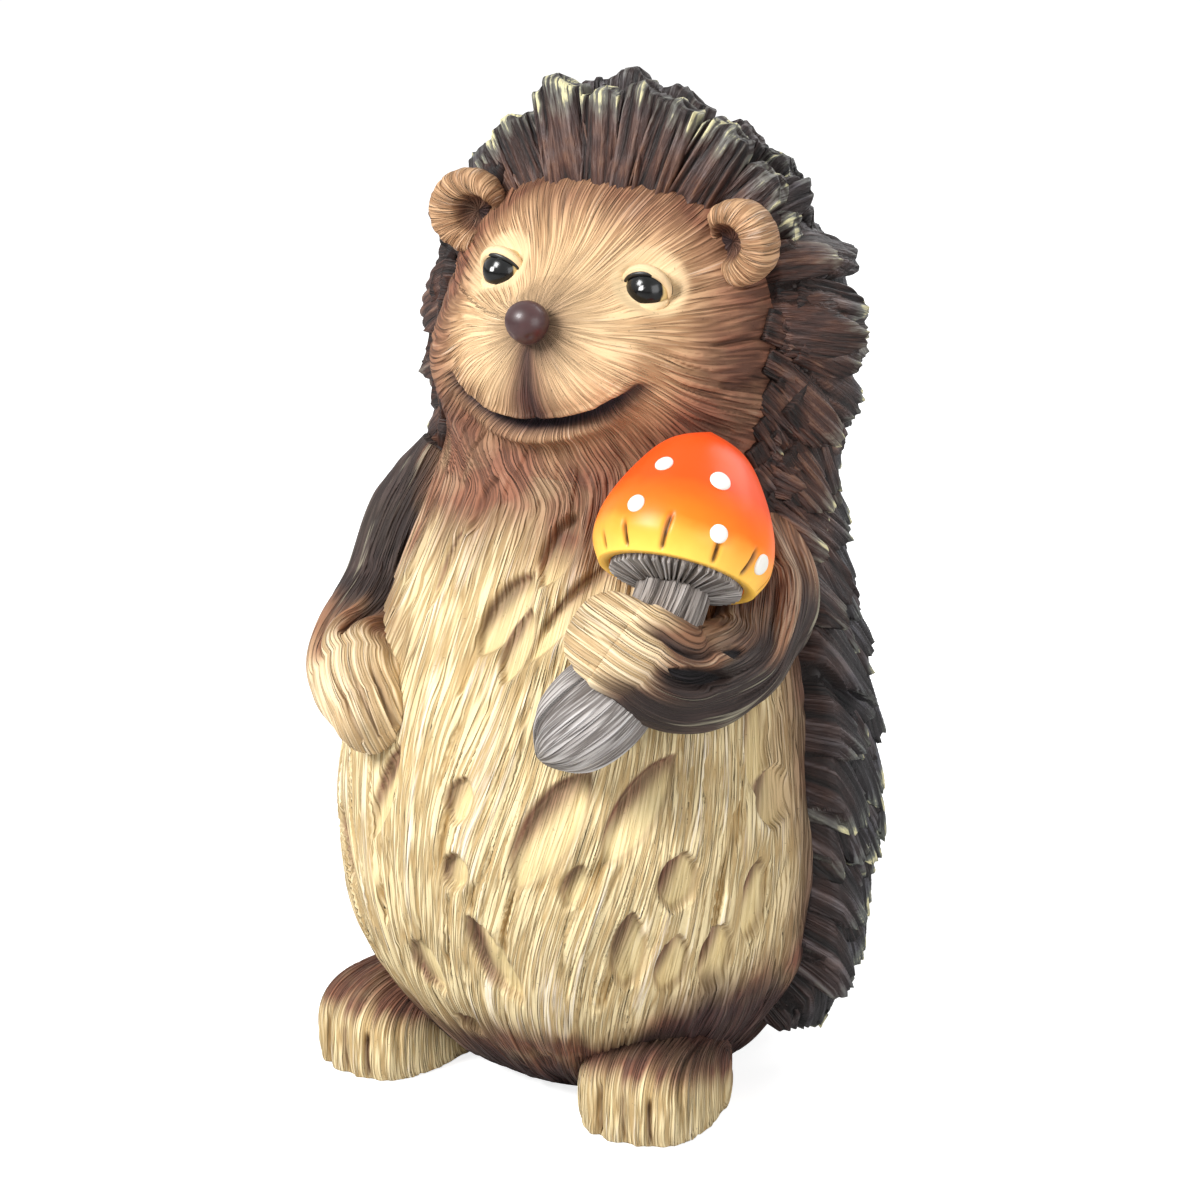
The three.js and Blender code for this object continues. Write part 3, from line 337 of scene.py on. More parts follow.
class Finish:
    """Base of the finishes, each of which works out its own surface."""

    name: str

    def surface(self, add: Callable[..., Socket]) -> Socket:
        """The finish's shader, made of the nodes that add puts in."""
        raise NotImplementedError

    def material(self) -> Material:
        """Builds the node material."""
        material = bpy.data.materials.new(self.name)
        add = new_tree(material)
        add("OutputMaterial", {"Surface": self.surface(add)})
        return material


@dataclass(frozen=True)
class Tones:
    """Colours of one paint over carved relief: in the grooves, on the face and dry-brushed on the ridges."""

    groove: str
    face: str
    ridge: str

    def blend(self, add: Callable[..., Socket], low: Socket, high: Socket) -> Socket:
        """Groove to face by the low share, then to ridge by the high share."""
        base = add("Mix", {0: low, 6: linear(self.groove), 7: linear(self.face)}, **BLEND)
        return add("Mix", {0: high, 6: base, 7: linear(self.ridge)}, **BLEND)


@dataclass(frozen=True)
class CarvedPaint(Finish):
    """Cast polyresin, carved with hair strokes, brush-painted and then airbrushed.

    The eye sees pale ridges over ochre grooves, soft brown clouds of airbrush that also carry painted shade, a
    few pin-holes from the casting and a matt surface with a slight satin on the ridges.
    """

    name: str
    pale: Tones
    brown: Tones
    dark: Tones
    floor: str
    stroke_mm: float = 1.0
    stroke_length_mm: float = 22.0
    fibre_mm: float = 0.33
    fibre_length_mm: float = 11.0
    pit_mm: float = 0.7
    cloud_mm: float = 11.0
    scratch: float = 0.32
    roughness: float = 0.7

    def surface(self, add: Callable[..., Socket]) -> Socket:
        """Shader that reads the marks relief, shade, dark and bare and the hair UV map."""
        names = ("relief", "shade", "dark", "bare")
        relief, shade, dark, bare = (add("Attribute", out="Fac", attribute_name=name) for name in names)
        place, hair = (add("TexCoord", out=space) for space in ("Object", "UV"))
        sizes = ((self.stroke_mm, self.stroke_length_mm), (self.fibre_mm, self.fibre_length_mm))
        scales = ((1 / wide, 1 / length, 1) for wide, length in sizes)
        broad, thin = (add("Mapping", {"Vector": hair, "Scale": scale}) for scale in scales)
        noise = add("TexNoise", {"Vector": broad, "Scale": 1.0, "Detail": 1.0})
        fibre = add("TexNoise", {"Vector": thin, "Scale": 1.0, "Detail": 2.0})
        clouds = add("TexNoise", {"Vector": place, "Scale": 1 / (self.cloud_mm * MM), "Detail": 3.0})
        specks = add("TexNoise", {"Vector": place, "Scale": 1 / (self.pit_mm * MM), "Detail": 1.0})
        away = add("Math", {0: add("Math", {0: noise, 1: 0.5}, operation="SUBTRACT")}, operation="ABSOLUTE")
        scratch = add("MapRange", {"Value": away, "From Min": 0.015, "From Max": 0.12})
        middle = {"From Min": 0.3, "From Max": 0.7}
        strokes, fibres = (add("MapRange", middle | {"Value": value}) for value in (noise, fibre))
        carved = add("Math", {0: relief, 1: 0.52}, operation="MULTIPLY")
        carved = add("Math", {0: strokes, 1: 0.22, 2: carved}, operation="MULTIPLY_ADD")
        worked = add("Math", {0: fibres, 1: 0.26, 2: carved}, operation="MULTIPLY_ADD")
        cut = add("MapRange", {"Value": scratch, "To Min": self.scratch})
        low = add("MapRange", {"Value": worked, "From Min": 0.08, "From Max": 0.38})
        low = add("Math", {0: low, 1: cut}, operation="MULTIPLY")
        high = add("MapRange", {"Value": worked, "From Min": 0.66, "From Max": 0.96})
        drift = middle | {"Value": clouds}
        cover = add("MapRange", drift | {"To Min": 0.75, "To Max": 1.2})
        cover = add("Math", {0: shade, 1: cover}, operation="MULTIPLY", use_clamp=True)
        pale = self.pale.blend(add, low, high)
        colour = add("Mix", {0: bare, 6: pale, 7: linear(self.floor)}, **BLEND)
        for share, tones in ((cover, self.brown), (dark, self.dark)):
            colour = add("Mix", {0: share, 6: colour, 7: tones.blend(add, low, high)}, **BLEND)
        tint = add("MapRange", drift | {"To Min": 0.86, "To Max": 1.06})
        pits = add("MapRange", {"Value": specks, "From Min": 0.2, "From Max": 0.29, "To Min": 0.6})
        worn = add("Math", {0: tint, 1: pits}, operation="MULTIPLY")
        colour = add("Mix", {0: 1.0, 6: colour, 7: worn}, blend_type="MULTIPLY", **BLEND)
        gloss = {"Value": worked, "To Min": self.roughness + 0.12, "To Max": self.roughness - 0.12}
        deep = add("MapRange", {"Value": bare, "To Min": 0.9, "To Max": 0.2})
        bump = add("Bump", {"Height": scratch, "Strength": deep, "Distance": 0.45 * MM})
        bump = add("Bump", {"Height": fibres, "Strength": deep, "Distance": 0.14 * MM, "Normal": bump})
        bump = add("Bump", {"Height": pits, "Strength": 0.3, "Distance": 0.3 * MM, "Normal": bump})
        surface = {"Base Color": colour, "Roughness": add("MapRange", gloss), "Normal": bump}
        return add("BsdfPrincipled", surface | {"Specular IOR Level": 0.32})


@dataclass(frozen=True)
class QuillPaint(Finish):
    """Cast polyresin quills: chocolate at the face, blue-black behind, dry-brushed with cream at the tips.

    The eye sees dark clefts, satin ridges and broken pale strokes where a dry brush caught the ends.
    """

    name: str
    brown: Tones
    coal: Tones
    tip: str
    haze: str
    stroke_mm: float = 0.6
    stroke_length_mm: float = 7.0
    patch_mm: float = 5.0
    roughness: float = 0.52

    def surface(self, add: Callable[..., Socket]) -> Socket:
        """Shader that reads the marks relief, brown and tip and the hair UV map."""
        names = ("relief", "brown", "tip")
        relief, brown, tip = (add("Attribute", out="Fac", attribute_name=name) for name in names)
        place, hair = (add("TexCoord", out=space) for space in ("Object", "UV"))
        scale = (1 / self.stroke_mm, 1 / self.stroke_length_mm, 1)
        drawn = add("Mapping", {"Vector": hair, "Scale": scale})
        noise = add("TexNoise", {"Vector": drawn, "Scale": 1.0, "Detail": 3.0})
        strokes = add("MapRange", {"Value": noise, "From Min": 0.34, "From Max": 0.66})
        patches = add("TexNoise", {"Vector": place, "Scale": 1 / (self.patch_mm * MM), "Detail": 4.0})
        patchy = add("MapRange", {"Value": patches, "From Min": 0.35, "From Max": 0.65})
        carved = add("Math", {0: relief, 1: 0.66}, operation="MULTIPLY")
        worked = add("Math", {0: strokes, 1: 0.34, 2: carved}, operation="MULTIPLY_ADD")
        low = add("MapRange", {"Value": worked, "From Min": 0.12, "From Max": 0.55})
        high = add("MapRange", {"Value": worked, "From Min": 0.55, "From Max": 0.95})
        cover = add("MapRange", {"Value": patchy, "To Min": 0.65, "To Max": 1.3})
        cover = add("Math", {0: brown, 1: cover}, operation="MULTIPLY", use_clamp=True)
        coal = self.coal.blend(add, low, high)
        colour = add("Mix", {0: cover, 6: coal, 7: self.brown.blend(add, low, high)}, **BLEND)
        caught = add("Math", {0: worked, 1: tip}, operation="MULTIPLY")
        broken = add("MapRange", {"Value": patchy, "To Min": 0.72, "To Max": 1.12})
        caught = add("Math", {0: caught, 1: broken}, operation="MULTIPLY")
        for start, full, most, paint in ((0.26, 0.56, 0.6, self.haze), (0.48, 0.62, 0.95, self.tip)):
            share = add("MapRange", {"Value": caught, "From Min": start, "From Max": full, "To Max": most})
            colour = add("Mix", {0: share, 6: colour, 7: linear(paint)}, **BLEND)
        gloss = {"Value": worked, "To Min": self.roughness + 0.15, "To Max": self.roughness - 0.1}
        bump = add("Bump", {"Height": strokes, "Strength": 0.8, "Distance": 0.5 * MM})
        surface = {"Base Color": colour, "Roughness": add("MapRange", gloss), "Normal": bump}
        return add("BsdfPrincipled", surface | {"Specular IOR Level": 0.4})


@dataclass(frozen=True)
class GlowingCap(Finish):
    """Tinted translucent polypropylene shell, lit from inside by a warm lamp.

    The eye sees a satin skin that runs from yellow at the rim to orange-red at the top and glows a little.
    """

    name: str = "cap_polypropylene_tinted"
    tones: Tones = Tones("#F6C152", "#F57C1F", "#EA4E14")
    cut: str = "#4A2E0C"
    glow: float = 0.13
    cloud_mm: float = 7.0

    def surface(self, add: Callable[..., Socket]) -> Socket:
        """Shader that reads the marks rise and cut."""
        rise, cut = (add("Attribute", out="Fac", attribute_name=name) for name in ("rise", "cut"))
        place = add("TexCoord", out="Object")
        clouds = add("TexNoise", {"Vector": place, "Scale": 1 / (self.cloud_mm * MM), "Detail": 2.0})
        level = add("Math", {0: clouds, 1: 0.12, 2: rise}, operation="MULTIPLY_ADD")
        low = add("MapRange", {"Value": level, "From Min": 0.02, "From Max": 0.27})
        high = add("MapRange", {"Value": level, "From Min": 0.2, "From Max": 0.56})
        colour = self.tones.blend(add, low, high)
        colour = add("Mix", {0: cut, 6: colour, 7: linear(self.cut)}, **BLEND)
        bump = add("Bump", {"Height": clouds, "Strength": 0.12, "Distance": 0.5 * MM})
        surface = {"Base Color": colour, "Emission Color": colour, "Normal": bump}
        gloss = {"Roughness": 0.36, "Specular IOR Level": 0.22, "Emission Strength": self.glow}
        return add("BsdfPrincipled", surface | gloss)


@dataclass(frozen=True)
class EyeGloss(Finish):
    """Acrylic bead, painted and lacquered: black iris, grey bloom, painted catch-light, cream round it."""

    name: str = "eye_acrylic_lacquered"
    pupil: str = "#060606"
    iris: str = "#101112"
    white: str = "#E2CB92"
    stained: str = "#C9AC74"
    light: str = "#FFFFFF"
    grain_mm: float = 0.5

    def surface(self, add: Callable[..., Socket]) -> Socket:
        """Shader that reads the marks iris, pupil and light."""
        names = ("iris", "pupil", "light")
        iris, pupil, light = (add("Attribute", out="Fac", attribute_name=name) for name in names)
        place = add("TexCoord", out="Object")
        grain = add("TexNoise", {"Vector": place, "Scale": 1 / (self.grain_mm * MM), "Detail": 2.0})
        dark = add("Mix", {0: pupil, 6: linear(self.iris), 7: linear(self.pupil)}, **BLEND)
        cream = add("Mix", {0: grain, 6: linear(self.white), 7: linear(self.stained)}, **BLEND)
        colour = add("Mix", {0: iris, 6: cream, 7: dark}, **BLEND)
        colour = add("Mix", {0: light, 6: colour, 7: linear(self.light)}, **BLEND)
        gloss = {"Roughness": 0.2, "IOR": 1.49, "Specular IOR Level": 0.35}
        coat = {"Coat Weight": 0.1, "Coat Roughness": 0.1}
        return add("BsdfPrincipled", gloss | coat | {"Base Color": colour})


@dataclass(frozen=True)
class Moulded(Finish):
    """A moulded, plated or dipped maker's material: fine grain in its colour, its gloss and its surface."""

    name: str
    colour: str
    worn: str
    roughness: float
    metallic: float = 0.0
    grain_mm: float = 0.4
    bump: float = 0.15
    coat: float = 0.0

    def surface(self, add: Callable[..., Socket]) -> Socket:
        """Shader on Object coordinates."""
        place = add("TexCoord", out="Object")
        grain = add("TexNoise", {"Vector": place, "Scale": 1 / (self.grain_mm * MM), "Detail": 2.0})
        broad = add("TexNoise", {"Vector": place, "Scale": 1 / (12 * self.grain_mm * MM), "Detail": 3.0})
        share = add("MapRange", {"Value": broad, "From Min": 0.35, "From Max": 0.7})
        colour = add("Mix", {0: share, 6: linear(self.colour), 7: linear(self.worn)}, **BLEND)
        gloss = {"Value": grain, "To Min": self.roughness - 0.08, "To Max": self.roughness + 0.08}
        bump = add("Bump", {"Height": grain, "Strength": self.bump, "Distance": 0.1 * MM})
        surface = {"Base Color": colour, "Roughness": add("MapRange", gloss), "Normal": bump}
        return add("BsdfPrincipled", surface | {"Metallic": self.metallic, "Coat Weight": self.coat})


@dataclass(frozen=True)
class SolarGlass(Finish):
    """Polycrystalline silicon strips under clear epoxy: dark blue flakes, pale grid lines and a wet gloss."""

    name: str = "solar_silicon_epoxy"
    flake_low: str = "#0B1330"
    flake_high: str = "#1B2C5E"
    line: str = "#AEB6C2"
    strip_mm: float = 10.0
    finger_mm: float = 2.0
    line_mm: float = 0.35
    flake_mm: float = 3.2

    def surface(self, add: Callable[..., Socket]) -> Socket:
        """Shader on Object coordinates: strips across X, collector lines up the panel."""
        place = add("TexCoord", out="Object")
        flakes = add("TexVoronoi", {"Vector": place, "Scale": 1 / (self.flake_mm * MM)}, "Color")
        share = add("SeparateColor", {0: flakes})
        colour = add("Mix", {0: share, 6: linear(self.flake_low), 7: linear(self.flake_high)}, **BLEND)
        lines = (("X", self.strip_mm, 2 * self.line_mm), ("Z", self.finger_mm, self.line_mm))
        for part, pitch, wide in lines:
            saw = add("Math", {0: add("SeparateXYZ", {0: place}, part), 1: pitch * MM}, operation="PINGPONG")
            line = add("Math", {0: saw, 1: wide * MM / 2}, operation="LESS_THAN")
            colour = add("Mix", {0: line, 6: colour, 7: linear(self.line)}, **BLEND)
        gloss = {"Roughness": 0.3, "Coat Weight": 1.0, "Coat Roughness": 0.06, "Coat IOR": 1.5}
        return add("BsdfPrincipled", gloss | {"Base Color": colour})


# Paints of the figure
BROWN = Tones("#3E2419", "#92624A", "#BE987A")
PLUM = Tones("#120B0C", "#33242A", "#675852")
BELLY = Tones("#9C763C", "#EEDAAB", "#F8F0E6")
FACE = Tones("#97683F", "#E8C092", "#F6E8D8")
BELLY_PAINT = CarvedPaint("belly_polyresin_painted", BELLY, BROWN, PLUM, floor="#EAD59E")
FACE_PAINT = CarvedPaint("face_polyresin_painted", FACE, BROWN, PLUM, floor="#EFD3A6")
ARM_PAINT = CarvedPaint(
    "arm_polyresin_painted",
    pale=Tones("#96723F", "#F0D6AC", "#F7EEDC"),
    brown=Tones("#46291B", "#A27557", "#CCAB8E"),
    dark=Tones("#0B090B", "#2C2729", "#A5A18A"),
    floor="#2A1A14",
)
QUILL_PAINT = QuillPaint(
    "quill_polyresin_drybrushed",
    brown=Tones("#140B08", "#472B21", "#7E5C48"),
    coal=Tones("#050507", "#151418", "#60626A"),
    tip="#DAD2A4",
    haze="#858B80",
)
STEM_PAINT = CarvedPaint(
    "stem_polyresin_limewashed",
    pale=Tones("#4E453F", "#BDB8B5", "#EAE8E8"),
    brown=Tones("#3A2D25", "#85786D", "#B5ABA2"),
    dark=Tones("#1F1813", "#56493F", "#887D73"),
    floor="#8F8276",
    stroke_mm=0.8,
    scratch=0.25,
)
CAP_PLASTIC = GlowingCap()
EYE_BEAD = EyeGloss()
NOSE_PAINT = Moulded("nose_polyresin_satin", "#331A1B", "#472A2A", 0.42, grain_mm=0.5, bump=0.1, coat=0.1)
LINER_PAINT = Moulded("liner_enamel_black", "#0B0A0A", "#161413", 0.4)
SPOT_PAINT = Moulded("spot_enamel_white", "#F4F2EC", "#E8E4DA", 0.45, grain_mm=0.5)
BLACK_ABS = Moulded("housing_abs_black", "#1A1A1C", "#242428", 0.52, grain_mm=0.35, bump=0.25)

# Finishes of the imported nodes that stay
DRESSING: tuple[tuple[Finish, tuple[str, ...]], ...] = (
    (BLACK_ABS, ("base_cover", "battery_door")),
    (
        Moulded("switch_abs_white", "#E6E3DB", "#D8D4C8", 0.45, grain_mm=0.35),
        ("switch_housing", "switch_slider", "led_holder"),
    ),
    (
        Moulded("gasket_silicone_black", "#232324", "#2E2E30", 0.85, grain_mm=0.3, bump=0.2),
        ("base_gasket", "solar_seal"),
    ),
    (
        Moulded("screw_steel_zinc_plated", "#B9BDC2", "#A3A39A", 0.32, metallic=1.0, grain_mm=0.25),
        ("battery_contact", "battery_spring_plate", "battery_spring", "battery_door_screw")
        + ("base_screw_1", "base_screw_2", "base_screw_3", "base_screw_4"),
    ),
    (Moulded("cell_sleeve_pvc_green", "#3F8F4F", "#367D45", 0.35, grain_mm=0.8), ("battery_cell",)),
    (Moulded("board_laminate_green", "#1E6A39", "#185730", 0.45, grain_mm=0.5), ("circuit_board",)),
    (Moulded("chip_epoxy_black", "#121213", "#1C1C1E", 0.5, grain_mm=0.2), ("driver_chip",)),
    (Moulded("choke_lacquer_green", "#5A8F6A", "#4C7B5B", 0.4), ("choke",)),
    (Moulded("lamp_epoxy_warm", "#FFF1C8", "#F5E2AE", 0.15, grain_mm=0.6, bump=0.02), ("led",)),
    (
        Moulded("wire_pvc_red", "#B3221C", "#9C1D18", 0.45, grain_mm=0.5),
        ("solar_wire_red", "led_wire_red", "battery_wire_red"),
    ),
    (
        Moulded("wire_pvc_black", "#161616", "#222222", 0.45, grain_mm=0.5),
        ("solar_wire_black", "led_wire_black", "battery_wire_black", "switch_wire_black"),
    ),
    (SolarGlass(), ("solar_panel",)),
)


def dress_nodes() -> None:
    """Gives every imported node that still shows, or hides inside, its maker's material."""
    for finish, nodes in DRESSING:
        material = finish.material()
        for node in nodes:
            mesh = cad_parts[node].data
            mesh.materials.clear()
            mesh.materials.append(material)


# The figure's form


def section(side: Array, middle: Array | float, depth: Array, angle: Array, height: Array) -> Array:
    """Point of a level ellipse: (side sin a, middle - depth cos a, height), with a = 0 at the front."""
    return stacked(side * np.sin(angle), middle - depth * np.cos(angle), height)


@dataclass(frozen=True)
class Ball:
    """Ellipsoid that is blended into the body's form."""

    centre: Point
    radii: Point
    blend: float

    def distance(self, points: Array) -> Array:
        """Rough distance to the surface: (length of the scaled offset - 1) times the least radius."""
        offset = (points - np.array(self.centre)) / np.array(self.radii)
        return (np.linalg.norm(offset, axis=-1) - 1) * min(self.radii)


@dataclass
class BodyForm:
    """Smooth form of the casting: height and reach to the side, front and back, with the face's balls."""

    stations: Rows = (
        (0, 31.46, 31.46, 31.46), (11, 41.5, 45.5, 36), (33, 55, 62, 45.5), (63, 58.5, 67.5, 49),
        (93, 55, 61.5, 48.5), (120, 47, 46, 46), (143, 42, 31, 43.5), (166, 43.5, 25, 40.5),
        (187, 41, 20.5, 36), (202, 30, 11, 29), (209, 15, 0.5, 18), (211, 0.5, -8, 9),
    )
    balls: tuple[Ball, ...] = (
        Ball((27, -9, 166), (12, 13, 13), 9),
        Ball((-27, -9, 166), (12, 13, 13), 9),
        Ball((0, -18, 174), (26, 20, 18), 10),
        Ball((0, -17, 157), (18, 13.5, 8.5), 4),
    )
    samples: int = 2400

    def __post_init__(self) -> None:
        """Samples the rising lines once and notes the crown's height."""
        self.line = spline(self.stations, np.linspace(0, 1, self.samples))
        self.crown = float(self.stations[-1][0])

    def reach(self, height: Array) -> tuple[Array, Array, Array]:
        """Half width, middle and half depth of the body at each height."""
        side, front, back = (np.interp(height, self.line[:, 0], self.line[:, k]) for k in (1, 2, 3))
        return side, (back - front) / 2, (back + front) / 2

    def distance(self, points: Array) -> Array:
        """Rough distance to the form: the body's level function joined to each ball by a smooth minimum."""
        x, y, z = xyz(points)
        side, middle, depth = self.reach(z)
        level = np.hypot(x / side, (y - middle) / depth)
        form = np.maximum((level - 1) * np.minimum(side, depth), z - self.crown)
        for ball in self.balls:
            other = ball.distance(points)
            h = np.clip(0.5 + 0.5 * (other - form) / ball.blend, 0, 1)
            form = mix(other, form, h) - ball.blend * h * (1 - h)
        return form

    def cast(self, origin: Array, direction: Array, far: float = 2.4, halvings: int = 24) -> Array:
        """Points where rays leave the form, found by halving the stretch between inside and outside."""
        low = np.zeros(direction.shape[:-1])
        high = np.full(direction.shape[:-1], far)
        for _ in range(halvings):
            middle = (low + high) / 2
            inside = self.distance(origin + middle[..., None] * direction) < 0
            low = np.where(inside, middle, low)
            high = np.where(inside, high, middle)
        return origin + low[..., None] * direction


FORM = BodyForm()
EYE_CENTRE = (18, -16.2, 188.4)


def make_piece(
    name: str,
    points: Array,
    faces: list,
    material: Material,
    slot: Slot,
    marks: Marks,
    hair: Array | None = None,
    replaced: tuple[str, ...] = (),
) -> None:
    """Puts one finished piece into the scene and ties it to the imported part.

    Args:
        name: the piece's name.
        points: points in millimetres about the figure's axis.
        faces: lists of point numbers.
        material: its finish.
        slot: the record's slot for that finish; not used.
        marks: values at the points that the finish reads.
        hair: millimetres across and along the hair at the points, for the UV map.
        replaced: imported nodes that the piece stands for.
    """
    mesh = bpy.data.meshes.new(name)
    mesh.from_pydata(((points + AXIS) * MM).tolist(), [], faces)
    mesh.polygons.foreach_set("use_smooth", np.ones(len(mesh.polygons), bool))
    for key, values in marks.items():
        layer = mesh.attributes.new(key, "FLOAT", "POINT")
        layer.data.foreach_set("value", np.ascontiguousarray(values, np.float32))
    if hair is not None:
        corners = np.empty(len(mesh.loops), np.int32)
        mesh.loops.foreach_get("vertex_index", corners)
        layer = mesh.uv_layers.new(name="hair")
        layer.data.foreach_set("uv", hair[corners].astype(np.float32).ravel())
    mesh.materials.append(material)
    mesh.update()
    piece = bpy.data.objects.new(name, mesh)
    bpy.context.scene.collection.objects.link(piece)
    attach(piece, FIGURE)
    if replaced:
        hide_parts(*replaced)
    log.info("%s: %d points, %d faces", name, len(points), len(faces))


@dataclass
class Bundle:
    """Closed forms, each a stack of rings, that are gathered into one piece."""

    points: list[Array] = field(default_factory=list)
    faces: list = field(default_factory=list)
    marks: dict[str, list[Array]] = field(default_factory=dict)
    hair: list[Array] = field(default_factory=list)
    count: int = 0

    def take(self, points: Array, faces: list, marks: Marks, hair: Array | None) -> None:
        """Takes in points, faces with the quads first, marks and hair coordinates of one closed form."""
        quads = sum(len(face) == 4 for face in faces)
        for part in (faces[:quads], faces[quads:]):
            self.faces += (np.array(part, int) + self.count).tolist()
        self.count += len(points)
        self.points.append(points)
        for key, values in marks.items():
            self.marks.setdefault(key, []).append(values)
        if hair is not None:
            self.hair.append(hair)

    def add(
        self, grid: Array, marks: Marks | None = None, hair: Array | None = None, poles: tuple | None = None
    ) -> "Bundle":
        """Closes a stack of rings with a pole at each end and adds it.

        Args:
            grid: the rings.
            marks: values on the grid, or one value for all of it.
            hair: hair coordinates on the grid.
            poles: the two poles, or None for the rings' middles.

        Returns:
            The bundle itself.
        """
        spread = {key: with_poles(np.broadcast_to(v, grid.shape[:2])) for key, v in (marks or {}).items()}
        self.take(*capped(grid, poles), spread, None if hair is None else with_poles(hair))
        return self

    def add_loop(self, grid: Array, marks: Marks | None = None, hair: Array | None = None) -> "Bundle":
        """Adds a stack of rings whose last ring joins on to its first, and returns the bundle itself."""
        spread = {key: np.broadcast_to(v, grid.shape[:2]).ravel() for key, v in (marks or {}).items()}
        faces = grid_faces(*grid.shape[:2], wrap_rows=True)
        self.take(grid.reshape(-1, 3), faces, spread, None if hair is None else hair.reshape(-1, 2))
        return self

    def make(self, name: str, material: Material, slot: Slot, *replaced: str) -> None:
        """Puts the gathered forms into the scene as one piece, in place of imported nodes."""
        marks = {key: np.concatenate(values) for key, values in self.marks.items()}
        hair = np.concatenate(self.hair) if self.hair else None
        make_piece(name, np.concatenate(self.points), self.faces, material, slot, marks, hair, replaced)


# Casting: torso and head


@dataclass(frozen=True)
class Hollow:
    """Leaf-shaped recess in the belly: place as degrees from the front and height, sizes in millimetres."""

    angle: float
    height: float
    length: float
    width: float
    tilt: float
    depth: float


HOLLOW_ROWS: Rows = (
    (-21, 138, 13, 5, 15, 1.8), (9, 132.5, 15, 7, 15, 2.8), (-28, 124, 17, 4.5, 5, 2),
    (-2, 119, 19, 8.5, 25, 2.4), (16, 121, 26, 5.5, 36, 2), (4, 113.5, 15, 6.5, 10, 2.4),
    (-27, 77, 24, 6.5, 16, 2.4), (-3, 81, 11, 7, 10, 2), (18.5, 76.5, 32, 12, 30, 2.4),
    (38, 81, 28, 10, 34, 2.4), (47.5, 64.5, 14, 9, 14, 3.4), (24.5, 64.5, 11, 5.5, 20, 3),
    (-3, 65, 9, 7, 0, 2.4), (5, 44, 24, 7, -26, 2.8), (36, 48.5, 20, 7.5, 8, 3),
    (46, 44, 16, 7.5, 14, 3), (57, 44, 18, 8, 10, 3), (67, 56, 20, 6.5, 10, 3),
    (73, 79, 15, 10, 4, 3), (68, 92, 24, 6.5, 0, 2.8), (-8, 22.5, 7, 6, 0, 2.8),
    (-14.5, 37.5, 15, 9, -24, 2.2), (-55, 92, 26, 8, -10, 2.4), (-48, 56, 22, 8, -18, 2.6),
    (-70, 70, 24, 8, -6, 2.6), (-66, 40, 16, 7, -14, 2.6),
)
HOLLOWS = tuple(Hollow(*row) for row in HOLLOW_ROWS)
LEFT_ARM: Rows = (
    (38, -4, 132, 9), (46.5, -13, 121, 10.5), (49.5, -33, 113, 11.2),
    (45, -53.5, 114.5, 11.6), (38.5, -62.8, 121.5, 11.6), (34.5, -64.6, 124.5, 10.4),
)
RIGHT_ARM: Rows = (
    (-41, 1, 138, 10), (-48, -5, 123.5, 11.8), (-50, -15, 108, 12),
    (-47, -34, 99.5, 11.2), (-38, -49, 97.5, 11), (-31.5, -55.5, 93.5, 8.8),
)


